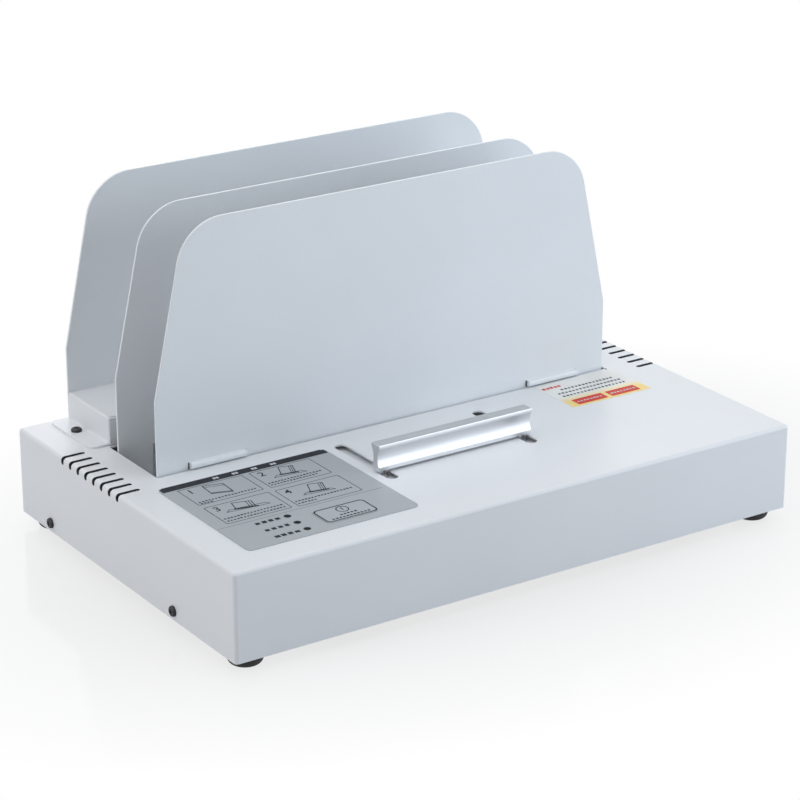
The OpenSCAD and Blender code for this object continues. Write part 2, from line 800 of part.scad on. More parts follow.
// Power board and what is on it
module power_board() {
    color("darkgreen") in_body() translate([power_x0, power_y0, power_z]) difference() {
        cube([power_w, power_d, board_t]);
        for (x = [5, power_w - 5], y = [5, power_d - 5]) translate([x, y, -eps])
            cylinder(r = clear_r, h = board_t + 2 * eps);
    }
}

module power_board_posts() {
    color("goldenrod") in_body() at_power_posts() {
        translate([0, 0, base_t]) cylinder(r = 3, h = power_z - base_t, $fn = 6);
        translate([0, 0, power_z - 0.1]) cylinder(r = 1.5, h = board_t + 2.1);
        translate([0, 0, power_z + board_t]) cylinder(r = 2.8, h = 2);
    }
}

module on_power(x, y) { translate([power_x0 + x, power_y0 + y, power_z + board_t]) children(); }

module transformer() {
    color("#4a4a50") in_body() on_power(14, 20) {
        cube([40, 14, 30]);
        translate([3, -7, 4]) cube([34, 28, 22]);
    }
}

module heater_relay() { color("#2b5aa0") in_body() on_power(64, 14) cube([19, 15.5, 15]); }

module capacitors() {
    color("#303034") in_body() for (i = [0 : 2]) on_power(20 + i * 14, 64) cylinder(r = 5, h = 13);
}

module terminal_block() {
    color("forestgreen") in_body() on_power(62, power_d - 12) difference() {
        cube([24, 9, 10]);
        for (i = [0 : 3]) translate([3 + i * 6, 4.5, 6]) cylinder(r = 1.8, h = 5);
        for (i = [0 : 3]) translate([3 + i * 6, 10, 4]) rotate([90, 0, 0]) cylinder(r = 1.5, h = 6);
    }
}

module mains_fuse() {
    color("gainsboro") in_body() on_power(66, 44) {
        translate([0, 0, 5]) rotate([0, 90, 0]) cylinder(r = 2.6, h = 20);
        for (x = [0, 15]) translate([x, -3, 0]) cube([5, 6, 3.5]);
    }
}

// Mains inlet: a flanged socket with a deep recess
module mains_inlet() {
    color("#202022") in_body() translate([inlet_x, body_d, rear_z]) difference() {
        union() {
            translate([-inlet_flange_w / 2, 0, -inlet_flange_h / 2])
                cube([inlet_flange_w, inlet_flange_t, inlet_flange_h]);
            translate([-inlet_cut_w / 2 + 0.2, -inlet_in, -inlet_cut_h / 2 + 0.2])
                cube([inlet_cut_w - 0.4, inlet_in + eps, inlet_cut_h - 0.4]);
        }
        translate([0, -inlet_in + 4, 0]) deep(inlet_in)
            polygon([[-12, -8], [12, -8], [12, 4], [8, 8], [-8, 8], [-12, 4]]);
        for (x = [-1, 1]) translate([x * inlet_hole, inlet_flange_t + eps, 0]) rotate([90, 0, 0])
            cylinder(r = clear_r, h = inlet_flange_t + 2 * eps);
        for (p = inlet_pin_at) translate([p[0] - 1, -inlet_in - eps, p[1] - 2])
            cube([2, 5, 4]);
    }
}

module inlet_pins() {
    color("silver") in_body() translate([inlet_x, body_d, rear_z])
        for (p = inlet_pin_at) translate([p[0] - 0.95, -inlet_in - pin_tail, p[1] - 1.95])
            cube([1.9, 19 + pin_tail, 3.9]);
}

module inlet_screws() {
    color("dimgray") in_body() for (x = [-1, 1])
        translate([inlet_x + x * inlet_hole, body_d + inlet_flange_t, rear_z]) rotate([-90, 0, 0])
            pan_screw(5.6, 1.4, screw_r, 7);
}

module switch_housing() {
    color("#202022") in_body() translate([rocker_x, body_d, rear_z]) difference() {
        union() {
            translate([-7.5, 0, -10.5]) cube([15, bezel_t, 21]);
            translate([-rocker_cut_w / 2 + 0.2, -14, -rocker_cut_h / 2 + 0.2])
                cube([rocker_cut_w - 0.4, 14 + eps, rocker_cut_h - 0.4]);
        }
        translate([-rocker_w / 2 - 0.3, -9, -9]) cube([rocker_w + 0.6, 14, 18]);
        translate([-rocker_w / 2 - 1.2, bezel_t - pivot_in, 0]) rotate([0, 90, 0])
            cylinder(r = pivot_r + pivot_gap, h = rocker_w + 2.4);
    }
    color("silver") in_body() for (z = [-5, 5]) translate([rocker_x - 0.4, body_d - 20, rear_z + z - 2.4])
        cube([0.8, 6.2, 4.8]);
}

// The rocker rests with its lower end pressed in, which is the off position
module rocker() {
    color("#242426") in_body() translate([rocker_x, body_d + bezel_t - pivot_in, rear_z])
        rotate([-rocker_tilt, 0, 0]) {
            translate([-rocker_w / 2, 0, 0]) wide(rocker_w) polygon([[-4.5, -4], [0, -rocker_half],
                [rocker_face, -rocker_half], [rocker_face - 1, 0], [rocker_face, rocker_half],
                [0, rocker_half], [-4.5, 4]]);
            translate([-rocker_w / 2 - 1, 0, 0]) rotate([0, 90, 0]) cylinder(r = pivot_r, h = rocker_w + 2);
        }
}

// Wiring lies on the base and passes beside the heater. Its ends stand in the terminal block
module mains_leads() {
    y_end = power_y0 + power_d - 7;
    z_end = power_z + board_t + 4;
    lane = max(plate_x + mid_low_half + 2.5, power_x0 + 83.7);
    tail_y = body_d - inlet_in - pin_tail - 1.1;
    color("#3a2a20") in_body() for (i = [0, 1]) {
        x_end = power_x0 + 77 + i * 6;
        x_pin = inlet_x + (i == 0 ? -7 : 7);
        wire([[x_pin, tail_y, rear_z - 2], [x_pin, tail_y - 8, base_t + 9 - i * 3.5],
            [lane + i * 4.2, mid_y + 22 - i * 4, base_t + 2.5], [lane + i * 4.2, y_end + 16, base_t + 2.5],
            [x_end, y_end + 10, z_end], [x_end, y_end, z_end]], 2.4);
    }
}

module heater_leads() {
    y_end = power_y0 + power_d - 7;
    z_end = power_z + board_t + 4;
    x_heat = plate_x + 60;
    z_heat = heat_top - heat_t - element_t;
    color("#d8d2c4") in_body() for (i = [0, 1]) {
        x_end = power_x0 + 65 + i * 6;
        wire([[x_end, y_end, z_end], [x_end, y_end + 10, z_end], [x_end - 20, y_end + 17 + i * 4, z_end],
            [x_heat + i * 6, heat_y0 - 6, z_end + 4], [x_heat + i * 6, heat_mid, z_heat - 1.15]], 2);
    }
}

module control_ribbon() {
    x0 = board_x0 + board_w - 19;
    z0 = board_top - board_t - 6;
    y0 = board_y0 + 19.5;
    color("#c8c8cc") in_body() {
        translate([x0, y0, base_t + 0.3]) cube([12, 1, z0 - base_t + 2]);
        translate([x0, y0, base_t + 0.3]) cube([power_x0 - x0 - 4, 12, 1]);
        translate([power_x0 - 5, y0, base_t + 0.3]) cube([1, 12, power_z + board_t - base_t + 0.3]);
        translate([power_x0 - 5, y0, power_z + board_t]) cube([11, 12, 1]);
    }
}

// Upright strips under the vents keep paper clips out of the housing
module vent_baffles() {
    l = (vent_count - 1) * vent_pitch + 16;
    color("#202022") in_body() for (s = [0, 1]) mirror([s, 0, 0])
        translate([-body_w / 2 + 8, front_y - 18, cover_under - 11]) {
            cube([1, l, 11]);
            translate([-6.6, 0, 0]) cube([7, l, 1]);
        }
}

// Plain paper label with no lettering, on the cover's right
module paper_label() {
    color("white") in_body() translate([plate_right - 57.5, front_y - 46.5, body_h]) cube([62, 43, 0.15]);
}

top_cover();
base_tray();
rubber_feet();
foot_screws();
cover_screws();
cooling_tray();
cooling_tray_screws();
rear_plate();
rear_plate_screws();
middle_plate();
middle_plate_screws();
throat_liner();
front_plate();
front_plate_nuts();
clamp_carriage();
slide_bushes();
bush_screws();
guide_rods();
rod_brackets();
handle();
handle_bolts();
handle_spacers();
control_film();
start_key();
switch_plunger();
key_switch();
control_board();
board_posts();
indicator_lamps();
buzzer();
board_socket();
heating_plate();
heater_elements();
heater_insulators();
heater_screws();
heater_shield();
thermostat();
thermal_fuse();
power_board();
power_board_posts();
transformer();
heater_relay();
capacitors();
terminal_block();
mains_fuse();
mains_inlet();
inlet_pins();
inlet_screws();
switch_housing();
rocker();
mains_leads();
heater_leads();
control_ribbon();
vent_baffles();
paper_label();
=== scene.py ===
import math
import random

import bmesh
import bpy
from mathutils import Matrix, Vector


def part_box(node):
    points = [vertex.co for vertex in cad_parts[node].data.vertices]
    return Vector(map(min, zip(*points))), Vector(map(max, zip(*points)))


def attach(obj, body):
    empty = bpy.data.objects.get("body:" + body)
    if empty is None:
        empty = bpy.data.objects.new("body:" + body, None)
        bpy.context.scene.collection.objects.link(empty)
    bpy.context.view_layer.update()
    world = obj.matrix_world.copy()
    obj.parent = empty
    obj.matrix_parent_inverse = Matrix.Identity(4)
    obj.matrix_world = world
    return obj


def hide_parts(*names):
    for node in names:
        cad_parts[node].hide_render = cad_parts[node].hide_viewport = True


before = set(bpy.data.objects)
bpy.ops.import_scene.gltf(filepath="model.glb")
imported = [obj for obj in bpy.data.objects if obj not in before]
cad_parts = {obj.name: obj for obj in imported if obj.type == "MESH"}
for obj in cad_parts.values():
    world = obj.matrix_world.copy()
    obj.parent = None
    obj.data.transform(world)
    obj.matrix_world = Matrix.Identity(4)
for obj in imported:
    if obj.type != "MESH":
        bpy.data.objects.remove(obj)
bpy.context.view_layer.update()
COVER_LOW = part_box("top_cover")[0]

# Sizes of the machine in millimetres: x from its middle, y from the housing's front, z from its lower edge
BODY_W, BODY_D, BODY_H = 400, 261, 55.5
LEFT = -BODY_W / 2
SHEET, FOLD = 1.2, 2.4
PLATE_X, PLATE_HALF, PLATE_T = -1.8, 165.5, 1.5
PLATE_TOP, MIDDLE_TOP = BODY_H + 154, BODY_H + 151
SHOULDER, LEAN, CORNER = BODY_H + 47, 23, 30
FRONT_Y, MIDDLE_Y, REAR_Y = 143.6, 191.5, 255
TAB_X, TAB_HALF, SLIT_W = 124.3, 19.2, 1
THROAT_LEFT, THROAT_RIGHT = PLATE_X - 166.2, PLATE_X + 167.8
THROAT_FRONT, THROAT_REAR = FRONT_Y - 1.3, MIDDLE_Y + PLATE_T + 8.3
NOTCH_W, NOTCH_L = 1.2, 5.5
VENTS, VENT_Y, VENT_PITCH, VENT_W = 8, FRONT_Y - 10, 9.8, 3
VENT_IN, VENT_OUT, VENT_DROP = 184.8, 203, 4.5
TRAY_FRONT, TRAY_H, TRAY_FOOT = 203.55, 18, 13
TRAY_WALL_Y, TRAY_WALL_HALF, TRAY_LIP = 202.3, 165.4, 3
HANDLE_Y, HANDLE_LOW, HANDLE_H, HANDLE_L = 78, BODY_H + 1.3, 16.8, 112
SLOT_X, SLOT_HALF, SLOT_FRONT, SLOT_REAR = 51, 4, 64, 127.3
INLET_X, SWITCH_X = 150, 104
FOOT_X, FOOT_Y = (-185, 185), (15, 246)
PANEL_X, PANEL_Y, PANEL_W, PANEL_D = -177.8, 21, 115.6, 105
FILM_TOP = BODY_H + 0.5
LAMP_X, LAMPS_Y = PANEL_X + 43.6, [PANEL_Y + 8.2 + i * 10.75 for i in range(3)]
KEY_X, KEY_Y, KEY_W, KEY_D = -120.5, 28.2, 35, 19.2
KEY_LOW, KEY_T = BODY_H + 0.45, 0.5
LABEL_X, LABEL_Y, LABEL_W = 106.2, 97.1, 62
LABEL_TOP = BODY_H + 0.15
INK = 0.03


def at(x, y, z):
    """A place on the machine in metres, in the frame all its parts share."""
    return Vector((x / 1000, COVER_LOW.y + y / 1000, COVER_LOW.z + z / 1000))


def depth(y):
    """A place from front to rear, in metres."""
    return at(0, y, 0).y


def level(z):
    """A height, in metres."""
    return at(0, 0, z).z


# Node materials

WHITE_RAYS = "Is Camera Ray", "Is Glossy Ray", "Is Transmission Ray"


class Number:
    """A node's output. Arithmetic on it adds Math nodes."""

    def __init__(self, nodes, socket):
        self.nodes, self.socket = nodes, socket

    def math(self, operation, *others):
        return self.nodes.node("Math", {"operation": operation}, [self, *others])

    def __add__(self, other):
        return self.math("ADD", other)

    def __mul__(self, other):
        return self.math("MULTIPLY", other)

    def __sub__(self, other):
        return self.math("SUBTRACT", other)

    def __rsub__(self, other):
        return self.nodes.node("Math", {"operation": "SUBTRACT"}, [other, self])

    __radd__, __rmul__ = __add__, __mul__


class Nodes:
    """The nodes of a finish or of the studio's sky."""

    def __init__(self, tree):
        self.tree = tree

    def node(self, kind, settings=None, values=(), output=0):
        """Adds a node: its settings first, then its sockets' values or links."""
        made = self.tree.nodes.new("ShaderNode" + kind)
        for key, value in (settings or {}).items():
            if key == "stops":
                ramp = made.color_ramp.elements
                while len(ramp) < len(value):
                    ramp.new(0.5)
                for stop, (position, colour) in zip(ramp, value):
                    stop.position, stop.color = position, (*colour, 1)
            else:
                setattr(made, key, value)
        for key, value in values.items() if isinstance(values, dict) else enumerate(values):
            if isinstance(value, Number):
                self.tree.links.new(value.socket, made.inputs[key])
            else:
                made.inputs[key].default_value = value
        return Number(self, made.outputs[output])

    def seen(self):
        """1 to the camera and in glossy or clear surfaces, 0 to the rays that carry light."""
        camera_ray, glossy, through = (self.node("LightPath", output=ray) for ray in WHITE_RAYS)
        return (camera_ray + glossy + through).math("MINIMUM", 1.0)

    def blend(self, share, first, second, last):
        """Mixes two shaders and leads the mix to the tree's last node."""
        mix = self.node("MixShader", None, [share, first, second])
        self.tree.links.new(mix.socket, self.tree.nodes[last].inputs["Surface"])


class Finish(Nodes):
    """A node material for one of the machine's finishes."""

    def __init__(self, name, **constants):
        self.material = bpy.data.materials.new(name)
        self.material.use_nodes = True
        super().__init__(self.material.node_tree)
        self.shader = self.tree.nodes["Principled BSDF"]
        for socket, value in constants.items():
            self.shader.inputs[socket.replace("_", " ")].default_value = value
        self.place = self.node("TexCoord", output="Object")

    def feed(self, socket, value):
        self.tree.links.new(value.socket, self.shader.inputs[socket])

    def noise(self, scale, detail=2.0, stretch=None):
        """Noise from 0 to 1 with that many features a metre."""
        place = self.place
        if stretch:
            place = self.node("Mapping", None, {"Vector": place, "Scale": stretch})
        return self.node("TexNoise", None, {"Vector": place, "Scale": scale, "Detail": detail})

    def between(self, share, first, second):
        """A colour between two colours or colour sockets."""
        ends = [c if isinstance(c, Number) else (*c, 1) for c in (first, second)]
        return self.node("Mix", {"data_type": "RGBA"}, {0: share, 6: ends[0], 7: ends[1]}, 2)

    def steps(self, value, *stops):
        """A ramp over a number, as a number."""
        return self.node("ValToRGB", {"stops": [(p, (v, v, v)) for p, v in stops]}, [value])

    def bump(self, height, distance, strength=1.0):
        values = {"Height": height, "Distance": distance, "Strength": strength}
        self.feed("Normal", self.node("Bump", None, values))


def shade(colour, share):
    """A darker or lighter tone of a colour."""
    return [min(1, c * share) for c in colour]


def powder(name, colour, roughness):
    """Fine powder coat: close tones, a little orange peel and a fine sparkle of grain."""
    f = Finish(name)
    f.shader.inputs["Specular IOR Level"].default_value = 0.45
    tone = f.noise(9, 3) * 0.6 + f.noise(1600, 1) * 0.4
    tone = f.steps(tone, (0.3, 0), (0.7, 1))
    f.feed("Base Color", f.between(tone, shade(colour, 0.965), shade(colour, 1.03)))
    f.feed("Roughness", f.noise(700, 2) * 0.14 + (roughness - 0.07))
    f.bump(f.noise(520, 2) * 0.7 + f.noise(1900, 1) * 0.3, 0.00003, 0.6)
    return f.material


def metal(name, colour, roughness, scale, stretch=None, contrast=0.1, metallic=1.0):
    """Metal with fine lines along one way, or a fine grain where no stretch is given."""
    f = Finish(name, Metallic=metallic)
    lines = f.noise(scale, 4, stretch)
    patch = f.noise(22, 2)
    tone = f.steps(lines * 0.75 + patch * 0.25, (0.32, 0), (0.68, 1))
    f.feed("Base Color", f.between(tone, shade(colour, 1 - contrast), shade(colour, 1 + contrast * 0.5)))
    f.feed("Roughness", lines * 0.16 + (roughness - 0.08))
    f.bump(lines, 0.00002)
    return f.material


def zinc(name, colour):
    """Zinc-plated sheet with a faint spangle."""
    f = Finish(name, Metallic=0.85)
    cells = f.node("TexVoronoi", None, {"Vector": f.place, "Scale": 120.0}, "Color")
    spangle = f.node("RGBToBW", None, [cells])
    grain = f.noise(900, 3)
    tone = f.steps(spangle * 0.6 + grain * 0.4, (0.25, 0), (0.75, 1))
    f.feed("Base Color", f.between(tone, shade(colour, 0.82), shade(colour, 1.06)))
    f.feed("Roughness", spangle * 0.18 + 0.34)
    f.bump(grain, 0.00002)
    return f.material


def moulded(name, colour, roughness=0.5, grain=1400, relief=0.00005, **constants):
    """Moulded plastic or rubber with a fine spark-eroded texture."""
    f = Finish(name, **constants)
    tone = f.noise(35, 3)
    f.feed("Base Color", f.between(tone, shade(colour, 0.85), shade(colour, 1.12)))
    texture = f.noise(grain, 3)
    f.feed("Roughness", texture * 0.2 + (roughness - 0.1))
    f.bump(texture, relief, 0.7)
    return f.material


def film_finish(name, colour):
    """Satin silver film: a fine brushed line under a clear satin layer."""
    f = Finish(name, Metallic=0.12, Specular_IOR_Level=0.3)
    lines = f.noise(420, 3, (0.05, 6, 1))
    tone = lines * 0.5 + f.noise(14, 2) * 0.5
    f.feed("Base Color", f.between(tone, shade(colour, 0.93), shade(colour, 1.06)))
    f.feed("Roughness", lines * 0.12 + 0.3)
    f.bump(f.noise(1500, 1), 0.00001)
    return f.material


def fading_ink(name, colour, paper, start, end):
    """Ink that fades into its paper between two places from front to rear."""
    f = Finish(name)
    share = (f.node("SeparateXYZ", None, [f.place], "Y") - depth(start)) * (1000 / (end - start))
    share = f.steps(share + f.noise(300) * 0.1, (0.05, 0), (1, 1))
    f.feed("Base Color", f.between(share, colour, paper))
    f.feed("Roughness", f.noise(500) * 0.1 + 0.37)
    f.bump(f.noise(500), 0.000006)
    return f.material


def striped(name, first, second, bands, axis, roughness=0.5, metallic=0.0):
    """Layers, wires side by side or a weave: bands a metre along one axis."""
    f = Finish(name, Metallic=metallic)
    wave = f.node("TexWave", {"wave_type": "BANDS", "bands_direction": axis},
                  {"Vector": f.place, "Scale": bands, "Distortion": 0.4, "Detail": 2.0})
    f.feed("Base Color", f.between(f.steps(wave, (0.35, 0), (0.6, 1)), first, second))
    f.feed("Roughness", f.noise(500) * 0.2 + (roughness - 0.1))
    f.bump(wave, 0.00008)
    return f.material


def circuit(name):
    """Green board with fine tracks under its mask."""
    f = Finish(name)
    size = {"Scale": 130.0, "Mortar Size": 0.06, "Brick Width": 1.1, "Row Height": 0.35}
    tracks = f.node("TexBrick", {"offset": 0.35, "squash": 0.7, "squash_frequency": 3},
                    {"Vector": f.place, **size}, "Fac")
    tone = f.between(f.noise(60, 3), (0.015, 0.13, 0.05), (0.03, 0.2, 0.08))
    f.feed("Base Color", f.between(tracks * 0.8, tone, (0.07, 0.34, 0.14)))
    f.feed("Roughness", f.noise(300) * 0.15 + 0.25)
    f.bump(tracks, 0.00004)
    return f.material


COAT = powder("cover_coat", (0.80, 0.815, 0.84), 0.35)
PLATE_COAT = powder("plate_coat", (0.84, 0.87, 0.90), 0.36)
BASE_ZINC = zinc("base_zinc_sheet", (0.62, 0.63, 0.64))
BRIGHT_STEEL = metal("bright_steel", (0.66, 0.66, 0.67), 0.3, 600)
GROUND_STEEL = metal("ground_steel", (0.72, 0.72, 0.73), 0.2, 900, (1, 0.02, 1), 0.06)
EXTRUDED = metal("satin_aluminium", (0.69, 0.705, 0.73), 0.46, 1100, (0.012, 1, 1), 0.07)
# The handle's flat top: the same brushed aluminium, darker and less metallic, as painted shade for the duller
# reflection of the top; its brushed lines are the top's own grain
PAINTED_SHADE_ALUMINIUM = metal("brushed_aluminium_painted_shade", (0.53, 0.54, 0.555), 0.36, 800, (0.02, 1, 1), 0.14, 0.6)
MILLED = metal("milled_aluminium", (0.62, 0.62, 0.625), 0.42, 500, (0.03, 1, 1), 0.12)
BRASS = metal("turned_brass", (0.72, 0.55, 0.25), 0.3, 900, (1, 1, 0.05))
BLACK_SCREW = moulded("black_oxide", (0.03, 0.03, 0.034), 0.42, 900, 0.00002, Metallic=0.5)
RUBBER = moulded("foot_rubber", (0.022, 0.022, 0.023), 0.75, 700, 0.0001)
# Near-black for the walls of the vent slots, the throat's notch and the tab slits: painted shade, where those
# openings lie in shadow
PAINTED_SHADE = moulded("painted_shade_in_slots", (0.05, 0.052, 0.056), 0.6)
BLACK_PLASTIC = moulded("black_plastic", (0.028, 0.028, 0.031), 0.45)
FILM = film_finish("panel_film", (0.43, 0.455, 0.475))
KEY_FILM = film_finish("key_film", (0.44, 0.465, 0.485))
DARK_INK = moulded("dark_ink", (0.016, 0.019, 0.024), 0.5, 900, 0.000004, Specular_IOR_Level=0.15)
GREY_INK = moulded("grey_ink", (0.11, 0.12, 0.13), 0.45, 900, 0.000004)
PALE_INK = moulded("pale_ink", (0.62, 0.64, 0.66), 0.45, 900, 0.000004)
PAPER = moulded("coated_paper", (0.86, 0.86, 0.84), 0.5, 500, 0.00001, Specular_IOR_Level=0.25)
YELLOW_INK = fading_ink("yellow_ink", (0.90, 0.68, 0.22), (0.86, 0.86, 0.84), LABEL_Y + 9, LABEL_Y + 19)
RED_INK = moulded("red_ink", (0.66, 0.05, 0.035), 0.5, 500, 0.000006, Specular_IOR_Level=0.2)
BLUE_INK = moulded("blue_black_ink", (0.035, 0.045, 0.09), 0.5, 500, 0.000006, Specular_IOR_Level=0.2)
LAMP = moulded("dark_lamp", (0.012, 0.008, 0.008), 0.45, 300, 0.000002, Specular_IOR_Level=0.1)
NYLON = moulded("natural_nylon", (0.78, 0.76, 0.69), 0.45, 600)
CERAMIC = moulded("glazed_ceramic", (0.84, 0.82, 0.78), 0.2, 200, 0.00001, Coat_Weight=0.5)
PHENOLIC = moulded("phenolic", (0.05, 0.042, 0.04), 0.3, 300)
RELAY_BLUE = moulded("relay_blue", (0.06, 0.15, 0.42), 0.4)
TERMINAL_GREEN = moulded("terminal_green", (0.04, 0.28, 0.11), 0.45)
MICA = striped("mica_and_wire", (0.50, 0.42, 0.28), (0.66, 0.58, 0.42), 60, "X")
LAMINATIONS = striped("laminations", (0.10, 0.10, 0.11), (0.24, 0.24, 0.26), 500, "Y", 0.4, 0.6)
BROWN_WIRE = moulded("brown_wire", (0.14, 0.065, 0.035), 0.4, 400)
SLEEVE = striped("glass_sleeve", (0.62, 0.58, 0.50), (0.82, 0.79, 0.72), 700, "DIAGONAL", 0.7)
RIBBON = striped("flat_cable", (0.44, 0.44, 0.46), (0.66, 0.66, 0.68), 390, "Y", 0.45)
BOARD = circuit("circuit_board")

NODE_FINISH = {
    COAT: ["clamp_carriage"],
    BASE_ZINC: ["base_tray", "throat_liner", "rod_brackets", "heater_shield", "mains_fuse"],
    BRIGHT_STEEL: ["foot_screws", "rear_plate_screws", "middle_plate_screws", "front_plate_nuts",
                   "bush_screws", "handle_bolts", "handle_spacers", "heater_screws", "thermal_fuse",
                   "inlet_pins", "inlet_screws"],
    GROUND_STEEL: ["guide_rods"],
    MILLED: ["heating_plate"],
    BRASS: ["board_posts", "power_board_posts"],
    BLACK_PLASTIC: ["vent_baffles", "switch_plunger", "key_switch", "buzzer", "capacitors"],
    FILM: ["control_film"],
    LAMP: ["indicator_lamps"],
    PAPER: ["paper_label"],
    NYLON: ["slide_bushes", "board_socket"],
    CERAMIC: ["heater_insulators"],
    PHENOLIC: ["thermostat"],
    RELAY_BLUE: ["heater_relay"],
    TERMINAL_GREEN: ["terminal_block"],
    MICA: ["heater_elements"],
    LAMINATIONS: ["transformer"],
    BROWN_WIRE: ["mains_leads"],
    SLEEVE: ["heater_leads"],
    RIBBON: ["control_ribbon"],
    BOARD: ["control_board", "power_board"],
}
for material, names in NODE_FINISH.items():
    for name in names:
        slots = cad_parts[name].data.materials
        for i in range(len(slots)):
            slots[i] = material
        if not len(slots):
            slots.append(material)


# Shapes


def block(bm, low, high):
    """A box between two corners, in millimetres."""
    a, b = at(*low), at(*high)
    size = b - a
    grown = Matrix.Translation((a + b) / 2) @ Matrix.Diagonal((*size, 1))
    return bmesh.ops.create_cube(bm, size=1, matrix=grown)["verts"]


def edges_of(verts):
    """The edges at some vertices, each once."""
    return list(dict.fromkeys(e for v in verts for e in v.link_edges))


def joined(bm, verts):
    """Edges from each vertex to the next."""
    return [bm.edges.new(pair) for pair in zip(verts, verts[1:])]


def lying(edges, axis):
    """The edges that run along one axis, 0 for x to 2 for z."""
    return [e for e in edges if abs((e.verts[0].co - e.verts[1].co).normalized()[axis]) > 0.99]


def soften(bm, edges, width, segments):
    """Rounds edges over a width in millimetres."""
    return bmesh.ops.bevel(bm, geom=edges, offset=width / 1000, offset_type="OFFSET", segments=segments,
                           profile=0.5, affect="EDGES", material=-1, clamp_overlap=True)


def crisp(bm, angle=28):
    """The edges that turn by more than an angle."""
    return [e for e in bm.edges if len(e.link_faces) == 2 and e.calc_face_angle(0) > math.radians(angle)]


def drum(bm, centre, radius, length, axis="Z", segments=32):
    """A cylinder round a place, in millimetres."""
    quarter = math.pi / 2
    turn = {"Z": Matrix(), "X": Matrix.Rotation(quarter, 4, "Y"), "Y": Matrix.Rotation(quarter, 4, "X")}[axis]
    place = Matrix.Translation(at(*centre)) @ turn
    bmesh.ops.create_cone(bm, cap_ends=True, segments=segments, radius1=radius / 1000,
                          radius2=radius / 1000, depth=length / 1000, matrix=place)


def outline(bm, points, corners, cut_back):
    """A flat face through places, with some of its corners rounded from a distance off each side."""
    verts = [bm.verts.new(at(*p)) for p in points]
    bm.faces.new(verts)
    bmesh.ops.bevel(bm, geom=[verts[i] for i in corners], offset=cut_back / 1000, offset_type="OFFSET",
                    segments=12, profile=0.5, affect="VERTICES", material=-1, clamp_overlap=True)


def thicken(bm, faces, vector):
    """Pushes faces out along a vector in millimetres, which gives a sheet its thickness."""
    made = bmesh.ops.extrude_face_region(bm, geom=faces)
    moved = [g for g in made["geom"] if isinstance(g, bmesh.types.BMVert)]
    bmesh.ops.translate(bm, verts=moved, vec=Vector(vector) / 1000)


def paint_shade(bm, known=0):
    """Gives the faces made after a count the second material, the near-black painted shade that stands in for
    shade inside slots and notches.
    """
    for face in bm.faces[known:]:
        face.material_index = 1


def shaded(mesh, angle):
    """Smooth shading that stays sharp where faces turn by more than an angle."""
    mesh.polygons.foreach_set("use_smooth", [True] * len(mesh.polygons))
    mesh.set_sharp_from_angle(angle=math.radians(angle))


def piece(name, bm, body, material, replaces=(), angle=32, recalculate=True):
    """Puts a finished mesh on one of the machine's bodies."""
    if recalculate:
        bmesh.ops.recalc_face_normals(bm, faces=bm.faces)
    mesh = bpy.data.meshes.new(name)
    bm.to_mesh(mesh)
    bm.free()
    shaded(mesh, angle)
    mesh.materials.append(material)
    obj = bpy.data.objects.new(name, mesh)
    bpy.context.scene.collection.objects.link(obj)
    even = obj.modifiers.new("even shading", "WEIGHTED_NORMAL")
    even.keep_sharp = True
    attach(obj, body)
    if replaces:
        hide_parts(*replaces)
    return obj


def copied(node, width):
    """A CAD node's own shape with its doubles merged, its flats joined and its edges broken."""
    bm = bmesh.new()
    bm.from_mesh(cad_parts[node].data)
    bmesh.ops.remove_doubles(bm, verts=bm.verts, dist=1e-6)
    bmesh.ops.dissolve_limit(bm, angle_limit=math.radians(0.5), verts=bm.verts, edges=bm.edges)
    soften(bm, crisp(bm), width, 2)
    return bm


def cut(bm, cutter):
    """Takes one mesh out of another with a Boolean modifier. Faces keep the material they came with."""
    objects = []
    for name, source in (("blank", bm), ("cutter", cutter)):
        bmesh.ops.recalc_face_normals(source, faces=source.faces)
        mesh = bpy.data.meshes.new(name)
        source.to_mesh(mesh)
        source.free()
        # The second material is the near-black painted shade, for the cutter's darkened faces
        for material in (COAT, PAINTED_SHADE):
            mesh.materials.append(material)
        objects.append(bpy.data.objects.new(name, mesh))
        bpy.context.scene.collection.objects.link(objects[-1])
    blank, tool = objects
    modifier = blank.modifiers.new("cut", "BOOLEAN")
    modifier.object, modifier.operation, modifier.solver = tool, "DIFFERENCE", "EXACT"
    modifier.use_self = True
    done = bmesh.new()
    graph = bpy.context.evaluated_depsgraph_get()
    done.from_mesh(blank.evaluated_get(graph).to_mesh())
    for obj in objects:
        bpy.data.objects.remove(obj)
    return done


# The folded cover: a box with rounded folds, hollowed, then punched


def cover_blank():
    """The cover before it is punched: one box with rounded folds, less another."""
    outer, inner = bmesh.new(), bmesh.new()
    outside = (-BODY_W / 2, 0, 0), (BODY_W / 2, BODY_D, BODY_H)
    inside = (-BODY_W / 2 + SHEET, SHEET, -5), (BODY_W / 2 - SHEET, BODY_D - SHEET, BODY_H - SHEET)
    for bm, corners, radius, segments in ((outer, outside, FOLD, 6), (inner, inside, FOLD - SHEET, 3)):
        verts = block(bm, *corners)
        under = min(bm.faces, key=lambda f: f.calc_center_median().z)
        soften(bm, [e for e in edges_of(verts) if e not in under.edges[:]], radius, segments)
    return cut(outer, inner)


def throat(punch, under, over):
    """The wide opening that the clamp plate slides in, with the notch ahead of its right end, whose walls
    carry painted shade.
    """
    block(punch, (THROAT_LEFT, THROAT_FRONT, under), (THROAT_RIGHT, THROAT_REAR, over))
    known = len(punch.faces)
    notch = (THROAT_RIGHT - NOTCH_W, THROAT_FRONT - NOTCH_L, under), (THROAT_RIGHT, THROAT_FRONT + 1, over)
    block(punch, *notch)
    paint_shade(punch, known)


def handle_slot(punch, x, under, over):
    verts = block(punch, (x - SLOT_HALF, SLOT_FRONT, under), (x + SLOT_HALF, SLOT_REAR, over))
    soften(punch, lying(edges_of(verts), 2), SLOT_HALF - 0.01, 10)


